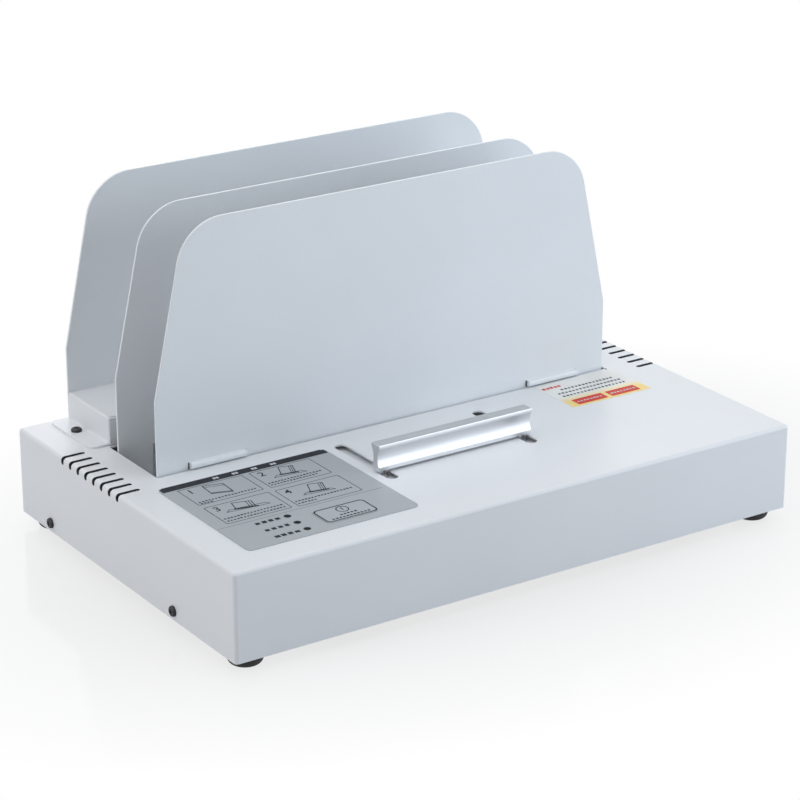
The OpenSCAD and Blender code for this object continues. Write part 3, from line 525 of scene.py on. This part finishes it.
def vent(punch, side, y, over):
    """A slot over a side fold, round at its inner end and along its lower edge, its walls near-black with
    painted shade.
    """
    known = len(punch.faces)
    left, right = sorted((side * VENT_IN, side * VENT_OUT))
    verts = block(punch, (left, y - VENT_W / 2, BODY_H - VENT_DROP), (right, y + VENT_W / 2, over))
    edges = edges_of(verts)
    inner = [e for e in lying(edges, 2) if abs(e.verts[0].co.x) < (VENT_IN + 5) / 1000]
    lower = [e for e in lying(edges, 0) if e.verts[0].co.z < level(BODY_H)]
    soften(punch, inner + lower, VENT_W / 2 - 0.05, 5)
    paint_shade(punch, known)


def folded_cover():
    punch = bmesh.new()
    under, over = BODY_H - 5.5, BODY_H + 4.5
    throat(punch, under, over)
    for side in (-1, 1):
        handle_slot(punch, side * SLOT_X, under, over)
    for side in (-1, 1):
        for i in range(VENTS):
            vent(punch, side, VENT_Y + i * VENT_PITCH, over)
    drum(punch, (KEY_X + KEY_W / 2, KEY_Y + KEY_D / 2, BODY_H - 0.5), 3.3, 8)
    for y in LAMPS_Y:
        drum(punch, (LAMP_X, y, BODY_H - 0.5), 1.8, 8, segments=20)
    for x, half, low, high in ((INLET_X, 13.7, 18.5, 38.5), (SWITCH_X, 6.6, 18.8, 38.2)):
        block(punch, (x - half, BODY_D - 3, low), (x + half, BODY_D + 3, high))
    bm = cut(cover_blank(), punch)
    bmesh.ops.remove_doubles(bm, verts=bm.verts, dist=1e-6)
    soften(bm, crisp(bm, 40), 0.18, 2)
    cover = piece("cover", bm, "housing", COAT, ["top_cover"], recalculate=False)
    # The cover's second material is the painted shade on the walls of the vents and the notch
    cover.data.materials.append(PAINTED_SHADE)


folded_cover()


# The three upright plates


def upright_plate(y, low, top, neck=None):
    """An upright sheet with a lean above its shoulder and round top corners.

    A neck is the half width and the lower end of a narrower part below it.
    """
    bm = bmesh.new()
    right = [(PLATE_HALF, low), (PLATE_HALF, SHOULDER), (PLATE_HALF - LEAN, top)]
    if neck:
        right = [neck, (neck[0], low)] + right
    points = [(PLATE_X + w, y, z) for w, z in right] + [(PLATE_X - w, y, z) for w, z in reversed(right)]
    last = len(right) - 1
    turn = math.radians(90) - math.atan2(LEAN, top - SHOULDER)
    outline(bm, points, [last, last + 1], CORNER * math.tan(turn / 2))
    thicken(bm, bm.faces[:], (0, PLATE_T, 0))
    soften(bm, crisp(bm), 0.35, 3)
    return bm


def flange(bm, half, y0, y1, z):
    """A sheet folded flat at a plate's foot, where its screws go."""
    verts = block(bm, (PLATE_X - half, y0, z), (PLATE_X + half, y1, z + PLATE_T))
    soften(bm, edges_of(verts), 0.3, 2)


def tab(bm, x):
    """A tab bent forward at the clamp plate's foot, round along its front."""
    low, high = (x - TAB_HALF, FRONT_Y - 3.2, BODY_H + 0.6), (x + TAB_HALF, FRONT_Y + 0.4, BODY_H + 4.6)
    verts = block(bm, low, high)
    front = [e for e in lying(edges_of(verts), 0) if e.verts[0].co.y < depth(FRONT_Y - 1)]
    soften(bm, front, 1.7, 5)


def front_plate():
    """The clamp plate with its tabs, the slits beside them, whose walls carry painted shade, and the studs
    that the carriage hangs on.
    """
    bm, slits = upright_plate(FRONT_Y, 27, PLATE_TOP), bmesh.new()
    for x in (PLATE_X - TAB_X, PLATE_X + TAB_X):
        tab(bm, x)
        for end in (x - TAB_HALF - SLIT_W, x + TAB_HALF):
            block(slits, (end, FRONT_Y - 1, BODY_H + 0.3), (end + SLIT_W, FRONT_Y + 3, BODY_H + 4.4))
    for x in (-120, -40, 40, 120):
        drum(bm, (PLATE_X + x, FRONT_Y - 3.2, 38.75), 2, 6.8, "Y", 20)
    paint_shade(slits)
    bm = cut(bm, slits)
    bmesh.ops.remove_doubles(bm, verts=bm.verts, dist=1e-5)
    bmesh.ops.dissolve_degenerate(bm, dist=1e-5, edges=bm.edges)
    plate = piece("clamp_plate", bm, "clamp", PLATE_COAT, ["front_plate"])
    # The plate's second material is the painted shade on the slits' walls
    plate.data.materials.append(PAINTED_SHADE)


def middle_plate():
    half, foot_z = 155, 1.5
    bm = upright_plate(MIDDLE_Y, BODY_H - 22, MIDDLE_TOP, (half, foot_z))
    flange(bm, half, MIDDLE_Y + 1, MIDDLE_Y + 16, foot_z)
    piece("middle_plate_sheet", bm, "housing", PLATE_COAT, ["middle_plate"])


def rear_plate():
    bm = upright_plate(REAR_Y, BODY_H, PLATE_TOP)
    flange(bm, PLATE_HALF - 4, REAR_Y - 16, REAR_Y + 0.5, BODY_H)
    piece("rear_plate_sheet", bm, "housing", PLATE_COAT, ["rear_plate"])


front_plate()
middle_plate()
rear_plate()


# The cooling tray: one sheet folded into feet, walls and deck, with a front wall under its front edge


def tray_surface():
    """Feet, walls and deck as one folded surface without a thickness."""
    bm = bmesh.new()
    left, right = PLATE_X - PLATE_HALF, PLATE_X + PLATE_HALF
    profile = [(left - TRAY_FOOT, 0), (left, 0), (left, TRAY_H)]
    profile += [(right, TRAY_H), (right, 0), (right + TRAY_FOOT, 0)]
    line = [bm.verts.new(at(x, TRAY_FRONT, BODY_H + z)) for x, z in profile]
    made = bmesh.ops.extrude_edge_only(bm, edges=joined(bm, line))
    moved = [g for g in made["geom"] if isinstance(g, bmesh.types.BMVert)]
    bmesh.ops.translate(bm, verts=moved, vec=(0, (REAR_Y - TRAY_FRONT) / 1000, 0))
    corners = [v for v in bm.verts if abs(v.co.x) > (PLATE_HALF + 4.5) / 1000]
    # The feet's outer corners reach a little past the walls, most at the rear
    for corner in corners:
        corner.co.y += -0.00025 if corner.co.y < depth(230) else 0.003
    bmesh.ops.bevel(bm, geom=corners, offset=0.0055, segments=8, profile=0.5, affect="VERTICES", material=-1)
    folds = [e for e in bm.edges if len(e.link_faces) == 2 and e.calc_face_angle(0) > 1]
    soften(bm, folds, 1.6, 5)
    bmesh.ops.recalc_face_normals(bm, faces=bm.faces)
    if max(bm.faces, key=lambda f: f.calc_center_median().z).normal.z < 0:
        bmesh.ops.reverse_faces(bm, faces=bm.faces)
    return bm


def cooling_tray():
    """The folded surface as a sheet, set on the cover and brought to its height, with its front wall."""
    bm = tray_surface()
    bmesh.ops.solidify(bm, geom=bm.faces[:], thickness=SHEET / 1000)
    lowest = min(v.co.z for v in bm.verts)
    bmesh.ops.translate(bm, verts=bm.verts, vec=(0, 0, level(BODY_H) - lowest))
    short = level(BODY_H + TRAY_H) - max(v.co.z for v in bm.verts)
    upper = [v for v in bm.verts if v.co.z > level(BODY_H + TRAY_H / 2)]
    bmesh.ops.translate(bm, verts=upper, vec=(0, 0, short))

    left, right, y = PLATE_X - TRAY_WALL_HALF, PLATE_X + TRAY_WALL_HALF, TRAY_WALL_Y
    under_deck, deck = BODY_H + TRAY_H - SHEET, BODY_H + TRAY_H
    wall = block(bm, (left, y, BODY_H + 0.3), (right, y + SHEET, under_deck))
    soften(bm, edges_of(wall), 0.3, 2)
    lip = block(bm, (left, y, under_deck), (right, y + TRAY_LIP, deck))
    soften(bm, lying(edges_of(lip), 0), 0.5, 3)
    piece("tray_sheet", bm, "housing", COAT, ["cooling_tray"])


cooling_tray()


# The handle: a drawn bar, waisted by a scoop along its front and rear


def handle():
    """Half of the bar's section is drawn, mirrored and pushed out to its length."""
    bm = bmesh.new()
    low, top, lip_half, base_half = HANDLE_LOW, HANDLE_LOW + HANDLE_H, 4.35, 3.5
    scoop, waist = 11.2, 2.3
    centre = at(0, HANDLE_Y + waist + scoop, low + HANDLE_H * 0.48)
    # The scoop's arc starts just above the base and ends just below the lip
    start = bm.verts.new(at(0, HANDLE_Y + base_half + 0.07, low + 2.74))
    arc = bmesh.ops.spin(bm, geom=[start], cent=centre, axis=(1, 0, 0), angle=math.radians(-62.4), steps=18)
    base = [(0, low), (base_half, low), (base_half, low + 1.6)]
    head = [(lip_half, top - 1.8), (lip_half, top), (0, top)]
    base, head = ([bm.verts.new(at(0, HANDLE_Y + y, z)) for y, z in half] for half in (base, head))
    joined(bm, [*base, start])
    joined(bm, [arc["geom_last"][0], *head])

    bmesh.ops.translate(bm, verts=bm.verts, vec=(0, -depth(HANDLE_Y), 0))
    bmesh.ops.mirror(bm, geom=bm.verts[:] + bm.edges[:], axis="Y", merge_dist=1e-6)
    bmesh.ops.remove_doubles(bm, verts=bm.verts, dist=1e-6)
    bmesh.ops.translate(bm, verts=bm.verts, vec=(-HANDLE_L / 2000, depth(HANDLE_Y), 0))
    section = bmesh.ops.contextual_create(bm, geom=bm.edges[:])["faces"]
    thicken(bm, section, (HANDLE_L, 0, 0))
    soften(bm, crisp(bm, 20), 0.4, 4)
    bmesh.ops.recalc_face_normals(bm, faces=bm.faces)
    # The flat top takes the darker aluminium: painted shade
    for face in bm.faces:
        if face.normal.z > 0.99 and face.calc_center_median().z > level(top - 0.1):
            face.material_index = 1
    bar = piece("handle_bar", bm, "clamp", EXTRUDED, ["handle"], 25)
    bar.data.materials.append(PAINTED_SHADE_ALUMINIUM)


handle()


# Feet and screws


def turned(bm, profile, centre):
    """Spins a profile of (radius, height) in millimetres about an upright axis."""
    verts = [bm.verts.new(at(centre[0] + r, centre[1], centre[2] + z)) for r, z in profile]
    edges = joined(bm, verts)
    bmesh.ops.spin(bm, geom=verts + edges, cent=at(*centre), axis=(0, 0, 1), angle=2 * math.pi, steps=40,
                   use_merge=True)


def feet():
    """Round feet with a round lower rim and a stepped hole for the screw."""
    bm = bmesh.new()
    radius, height, rim, bore, bore_top, hole = 10.5, 8, 4, 2, 4.5, 4
    turns = [math.radians(i * 9) for i in range(1, 11)]
    inside = [(bore, -0.05), (bore, -bore_top), (hole, -bore_top), (hole, -height), (radius - rim, -height)]
    curve = [(radius - rim + rim * math.sin(a), -height + rim - rim * math.cos(a)) for a in turns]
    outside = [(radius, -0.4), (radius - 0.3, -0.05), (bore, -0.05)]
    for x in FOOT_X:
        for y in FOOT_Y:
            turned(bm, inside + curve + outside, (x, y, 0))
    bmesh.ops.remove_doubles(bm, verts=bm.verts, dist=1e-6)
    piece("feet", bm, "housing", RUBBER, ["rubber_feet"], 40)


def screw_head(bm, matrix, radius):
    """A domed head 2 mm high with a cross recess, its axis along z before the matrix places it."""
    head, recess = bmesh.new(), bmesh.new()
    r, h = radius / 1000, 0.002
    bmesh.ops.create_cone(head, cap_ends=True, segments=32, radius1=r, radius2=r, depth=h,
                          matrix=Matrix.Translation((0, 0, h / 2)))
    rim = [e for e in head.edges if min(v.co.z for v in e.verts) > h / 2]
    soften(head, rim, 1.2, 5)
    for turn in (0, math.pi / 2):
        place = Matrix.Rotation(turn, 4, "Z") @ Matrix.Translation((0, 0, h))
        bmesh.ops.create_cube(recess, size=1, matrix=place @ Matrix.Diagonal((r, 0.0008, h, 1)))
    head = cut(head, recess)
    mesh = bpy.data.meshes.new("head")
    head.to_mesh(mesh)
    head.free()
    mesh.transform(matrix)
    bm.from_mesh(mesh)
    bpy.data.meshes.remove(mesh)


def side_screws():
    bm, z, shank = bmesh.new(), 6, 5
    for side in (-1, 1):
        for y in (69.5, 221):
            turn = Matrix.Rotation(side * math.pi / 2, 4, "Y")
            screw_head(bm, Matrix.Translation(at(side * BODY_W / 2, y, z)) @ turn, 3.3)
            drum(bm, (side * (BODY_W / 2 - shank / 2), y, z), 1.45, shank, "X", 20)
    piece("side_screws", bm, "housing", BLACK_SCREW, ["cover_screws"], 40)


def tray_screws():
    bm, z, shank = bmesh.new(), BODY_H + SHEET, 6
    for side in (-1, 1):
        x, y = PLATE_X + side * (PLATE_HALF + 6.4), REAR_Y - 21.5
        screw_head(bm, Matrix.Translation(at(x, y, z)), 3.4)
        drum(bm, (x, y, z - shank / 2), 1.45, shank, segments=20)
    piece("tray_screws", bm, "housing", BLACK_SCREW, ["cooling_tray_screws"], 40)


feet()
side_screws()
tray_screws()


# Start key


def start_key():
    """A pad with round corners and a broken upper edge, on a stem that reaches the key switch."""
    bm = bmesh.new()
    verts = block(bm, (KEY_X, KEY_Y, KEY_LOW), (KEY_X + KEY_W, KEY_Y + KEY_D, KEY_LOW + KEY_T))
    soften(bm, lying(edges_of(verts), 2), 3, 8)
    upper = [e for e in bm.edges if min(v.co.z for v in e.verts) > level(KEY_LOW + 0.3)]
    soften(bm, upper, 0.2, 3)
    drum(bm, (KEY_X + KEY_W / 2, KEY_Y + KEY_D / 2, KEY_LOW - 2), 2.5, 4.2)
    piece("start_key_pad", bm, "key", KEY_FILM, ["start_key"], 35)


start_key()


# Printing, as thin ink on the film, the key and the label


class Print:
    """Ink of one colour on one flat surface, gathered into a mesh."""

    def __init__(self, z):
        self.bm, self.z = bmesh.new(), z

    def stroke(self, x0, y0, x1, y1, width=0.45, cap=0.5):
        """A straight stroke, longer by a share of its width so that it meets the next one."""
        a, b = at(x0, y0, self.z), at(x1, y1, self.z)
        length = (b - a).length + width / 1000 * cap
        middle = (a + b) / 2 + Vector((0, 0, INK / 2000))
        place = Matrix.Translation(middle) @ Matrix.Rotation(math.atan2(b.y - a.y, b.x - a.x), 4, "Z")
        size = Matrix.Diagonal((length, width / 1000, INK / 1000, 1))
        bmesh.ops.create_cube(self.bm, size=1, matrix=place @ size)

    def path(self, points, width):
        """Strokes from each place to the next."""
        for (x0, y0), (x1, y1) in zip(points, points[1:]):
            self.stroke(x0, y0, x1, y1, width)

    def patch(self, x0, y0, x1, y1):
        """A filled rectangle."""
        self.stroke(x0, (y0 + y1) / 2, x1, (y0 + y1) / 2, y1 - y0, 0)

    def arc(self, x, y, radius, start, end, width, steps):
        turns = [math.radians(start + (end - start) * i / steps) for i in range(steps + 1)]
        self.path([(x + radius * math.cos(t), y + radius * math.sin(t)) for t in turns], width)

    def box(self, x0, y0, x1, y1, r=1.0, width=0.45):
        """A line round a rectangle with round corners."""
        self.stroke(x0 + r, y0, x1 - r, y0, width)
        self.stroke(x0 + r, y1, x1 - r, y1, width)
        self.stroke(x0, y0 + r, x0, y1 - r, width)
        self.stroke(x1, y0 + r, x1, y1 - r, width)
        corners = (x1 - r, y1 - r), (x0 + r, y1 - r), (x0 + r, y0 + r), (x1 - r, y0 + r)
        for (x, y), start in zip(corners, (0, 90, 180, 270)):
            self.arc(x, y, r, start, start + 90, width, 5)

    def dashes(self, x, y, count, size=1.5, gap=0.7, height=1.5):
        """A row of plain dashes that stands for a line of small print and says nothing."""
        for _ in range(count):
            length = size * DASHES.uniform(0.8, 1.05)
            self.patch(x, y, x + length, y + height * DASHES.uniform(0.8, 1))
            x += size + gap

    def digit(self, mark, x, y, size):
        """A plain digit from Blender's own font."""
        curve = bpy.data.curves.new("digit", "FONT")
        curve.body, curve.size, curve.offset = mark, size / 1000, 0.00008
        obj = bpy.data.objects.new("digit", curve)
        bpy.context.scene.collection.objects.link(obj)
        mesh = bpy.data.meshes.new_from_object(obj.evaluated_get(bpy.context.evaluated_depsgraph_get()))
        mesh.transform(Matrix.Translation(at(x, y, self.z)))
        flat = bmesh.new()
        flat.from_mesh(mesh)
        bmesh.ops.remove_doubles(flat, verts=flat.verts, dist=2e-5)
        thicken(flat, flat.faces[:], (0, 0, INK))
        flat.to_mesh(mesh)
        flat.free()
        self.bm.from_mesh(mesh)
        bpy.data.objects.remove(obj)
        bpy.data.curves.remove(curve)
        bpy.data.meshes.remove(mesh)

    def done(self, name, body, material, slot):
        piece(name, self.bm, body, material, angle=60)


DASHES = random.Random(7)


def part_way(start, end, share):
    """A place on the line between two places."""
    return [a + (b - a) * share for a, b in zip(start, end)]


def sheet_picture(ink, corners):
    """A line picture of sheets that stand up."""
    points = [(LEFT + x, y) for x, y in corners]
    ink.path(points + points[:1], 0.7)
    top_left, top_right, low_right, low_left = points
    ink.stroke(*part_way(top_left, low_left, 0.2), *part_way(top_right, low_right, 0.2), 0.4)
    ink.stroke(low_left[0], low_left[1] + 1.2, low_right[0], low_right[1] + 1.2, 0.8)


def machine_picture(ink, corners, base):
    """A line picture of a sheaf that stands in a machine."""
    points = [(LEFT + x, y) for x, y in corners]
    ink.path(points + points[:1], 0.6)
    top_left, top_right, low_right, low_left = points
    for share in (0.72, 0.86):
        ink.stroke(*part_way(top_left, top_right, share), *part_way(low_left, low_right, share), 0.45)
    (x0, y0), (x1, y1) = [(LEFT + x, y) for x, y in base]
    ink.path([(x0, y0), (x1, y1), (x1 - 2, y1 + 2.6), (x0 + 3, y0 + 2.4), (x0, y0)], 0.5)
    ink.stroke(low_left[0] - 1, low_left[1] - 0.4, low_right[0] + 1.5, low_right[1] - 0.4, 1.6)


def step_boxes(ink):
    """The four numbered boxes, each with its picture and rows of small print."""
    boxes = (31.5, 92, 75, 117.6), (80, 91.5, 122, 117.6), (31.5, 60, 74.8, 87), (79, 59, 122.5, 86.3)
    for i, (x0, y0, x1, y1) in enumerate(boxes):
        ink.box(LEFT + x0, y0, LEFT + x1, y1)
        ink.digit(str(i + 1), LEFT + x0 + 3.6, y1 - 8.2, 8.5)
    sheet_picture(ink, [(47.2, 116.0), (59.5, 113), (58.8, 99.4), (46.4, 103.2)])
    for corners, base in (
        (((99.5, 116.2), (108.1, 114), (104.5, 104), (95.6, 106)), ((89.5, 103.4), (111, 101.6))),
        (((48.6, 84.7), (60.1, 81.8), (58.4, 73.5), (46.8, 76.5)), ((39.7, 74.4), (67.6, 72.4))),
        (((100, 84), (108.9, 82), (105.5, 72), (96, 74)), ((90, 71.6), (110.6, 69.4))),
    ):
        machine_picture(ink, corners, base)
    for x, y, count in (
        (33.4, 95.2, 18), (33.4, 92.8, 4), (81.8, 97.2, 17), (81.8, 94.2, 15),
        (33.4, 66.2, 18), (33.4, 62.6, 18), (80.6, 65.2, 18), (80.6, 61.8, 6),
    ):
        ink.dashes(LEFT + x, y, count)


def panel_print():
    """The film's dark head band, boxes and lamp rings, its dividing line and the marks on its head band."""
    right, rear = PANEL_X + PANEL_W, PANEL_Y + PANEL_D
    dark = Print(FILM_TOP)
    dark.patch(PANEL_X + 0.8, rear - 6.8, right - 0.8, rear - 1.2)
    dark.patch(PANEL_X + 2.6, rear - 1.3, right - 2.6, rear - 0.2)
    step_boxes(dark)
    for y in LAMPS_Y:
        dark.dashes(LEFT + 44.4, y - 1.5, 4, 3.3, 1.1, 3.2)
        dark.arc(LAMP_X, y, 1.9, 0, 360, 0.65, 20)
    dark.done("panel_print_dark", "housing", DARK_INK, "film")

    thin = Print(FILM_TOP)
    thin.stroke(LEFT + 22.8, 56.2, LEFT + 134, 55.8, 0.3)
    thin.done("panel_print_grey", "housing", GREY_INK, "film")

    pale = Print(FILM_TOP + INK)
    for x in (60.3, 73.5, 86.7, 99.9):
        for start in (LEFT + x - 2, LEFT + x + 0.1):
            pale.patch(start, 121.2, start + 1.7, 123.6)
    pale.done("panel_print_pale", "housing", PALE_INK, "film")


def key_print():
    """The key's border, its ring symbol and two rows of small print."""
    ink = Print(KEY_LOW + KEY_T)
    ink.box(KEY_X + 0.7, KEY_Y + 0.7, KEY_X + KEY_W - 0.7, KEY_Y + KEY_D - 0.7, 2.6, 0.9)
    x, y = KEY_X + KEY_W / 2, KEY_Y + 13
    ink.arc(x, y, 3.7, 0, 360, 0.7, 28)
    ink.stroke(x, y - 1.2, x, y + 2.1, 0.8)
    ink.dashes(KEY_X + 12, KEY_Y + 5.7, 5, 1.7, 0.7, 1.8)
    ink.dashes(KEY_X + 4.6, KEY_Y + 2.3, 11, 1.7, 0.7, 1.6)
    ink.done("key_print", "key", DARK_INK, "key_film")


def label_print():
    """The label's yellow band and red bars, and rows of small print in red, pale and dark ink."""
    yellow = Print(LABEL_TOP)
    yellow.patch(LABEL_X + 0.3, LABEL_Y + 0.3, LABEL_X + LABEL_W - 0.3, LABEL_Y + 19)
    yellow.done("label_print_yellow", "housing", YELLOW_INK, "paper")

    red = Print(LABEL_TOP + INK)
    for x0, x1 in ((312.3, 335.5), (338.8, 361.5)):
        red.patch(LEFT + x0, 99.6, LEFT + x1, 108.4)
    red.dashes(LEFT + 308, 131.5, 5, 2.3, 0.7, 3)
    red.done("label_print_red", "housing", RED_INK, "paper")

    pale = Print(LABEL_TOP + 2 * INK)
    for x in (314.2, 340.6):
        pale.dashes(LEFT + x, 103.2, 8, 1.8, 0.7, 1.6)
    pale.done("label_print_pale", "housing", PALE_INK, "paper")

    dark = Print(LABEL_TOP + INK)
    for x, y, count in ((318, 125.6, 15), (312, 120.4, 18), (312, 115.2, 18)):
        dark.dashes(LEFT + x, y, count, 1.9, 0.9, 2.2)
    dark.done("label_print_dark", "housing", BLUE_INK, "paper")


panel_print()
key_print()
label_print()


# Rear fittings, whose CAD shapes are right and get broken edges

for name, node, width, body in (
    ("inlet_body", "mains_inlet", 0.5, "housing"),
    ("switch_frame", "switch_housing", 0.35, "housing"),
    ("rocker_cap", "rocker", 0.35, "power_rocker"),
):
    piece(name, copied(node, width), body, BLACK_PLASTIC, [node], recalculate=False)


# Studio: a pale floor, soft lamps and the photograph's camera


def floor():
    """White to the camera and in reflections, more fully so away from the machine's shadow."""
    bm = bmesh.new()
    bmesh.ops.create_grid(bm, x_segments=1, y_segments=1, size=6)
    mesh = bpy.data.meshes.new("floor")
    bm.to_mesh(mesh)
    bm.free()
    obj = bpy.data.objects.new("floor", mesh)
    bpy.context.scene.collection.objects.link(obj)
    f = Finish("studio_floor", Roughness=0.1, Base_Color=(0.6, 0.6, 0.61, 1))
    oval = f.node("Mapping", None, {"Vector": f.place, "Scale": (0.7, 1, 1)})
    away = f.node("VectorMath", {"operation": "LENGTH"}, [oval], "Value")
    share = f.steps(away, (0.15, 0.7), (0.29, 1)) * f.seen()
    f.blend(share, Number(f, f.shader.outputs[0]), f.node("Emission"), "Material Output")
    mesh.materials.append(f.material)


def lamp(name, place, target, size, power, colour):
    data = bpy.data.lights.new(name, "AREA")
    data.shape, data.energy, data.color = "RECTANGLE", power, colour
    data.size, data.size_y = size
    obj = bpy.data.objects.new(name, data)
    obj.location = place
    obj.rotation_euler = (Vector(target) - Vector(place)).to_track_quat("-Z", "Y").to_euler()
    bpy.context.scene.collection.objects.link(obj)


def surroundings():
    """A dim sky that lights the machine, but is white to the camera and in reflections."""
    world = bpy.data.worlds.new("studio")
    bpy.context.scene.world = world
    world.use_nodes = True
    sky = Nodes(world.node_tree)
    dim = sky.node("Background", None, {"Color": (0.9, 0.95, 1.0, 1), "Strength": 0.13})
    white = sky.node("Background", None, {"Color": (1, 1, 1, 1)})
    sky.blend(sky.seen(), dim, white, "World Output")


def studio():
    middle = (0, 0, 0.1)
    floor()
    lamp("overhead", (0.0, 0.25, 2.2), middle, (3.6, 3.6), 45, (1, 1, 1))
    lamp("left", (-1.9, 0.1, 0.8), middle, (1.4, 1.2), 12.2, (0.94, 0.97, 1.0))
    lamp("front", (1.15, -0.95, 0.45), (0.1, 0, 0.1), (1.7, 1.0), 14.5, (0.8, 0.9, 1.0))
    lamp("rear", (0.8, 2.0, 0.9), middle, (1.5, 1.2), 7, (0.92, 0.96, 1.0))
    surroundings()


def camera():
    data = bpy.data.cameras.new("camera")
    data.lens, data.sensor_width = 128.67, 36
    data.clip_start, data.clip_end = 0.05, 50
    obj = bpy.data.objects.new("camera", data)
    obj.location = (-0.9167, -1.3677, 0.7163)
    obj.rotation_euler = (math.radians(68.876), 0, math.radians(-33.778))
    bpy.context.scene.collection.objects.link(obj)
    bpy.context.scene.camera = obj


studio()
camera()
bpy.context.scene.view_settings.view_transform = "Standard"
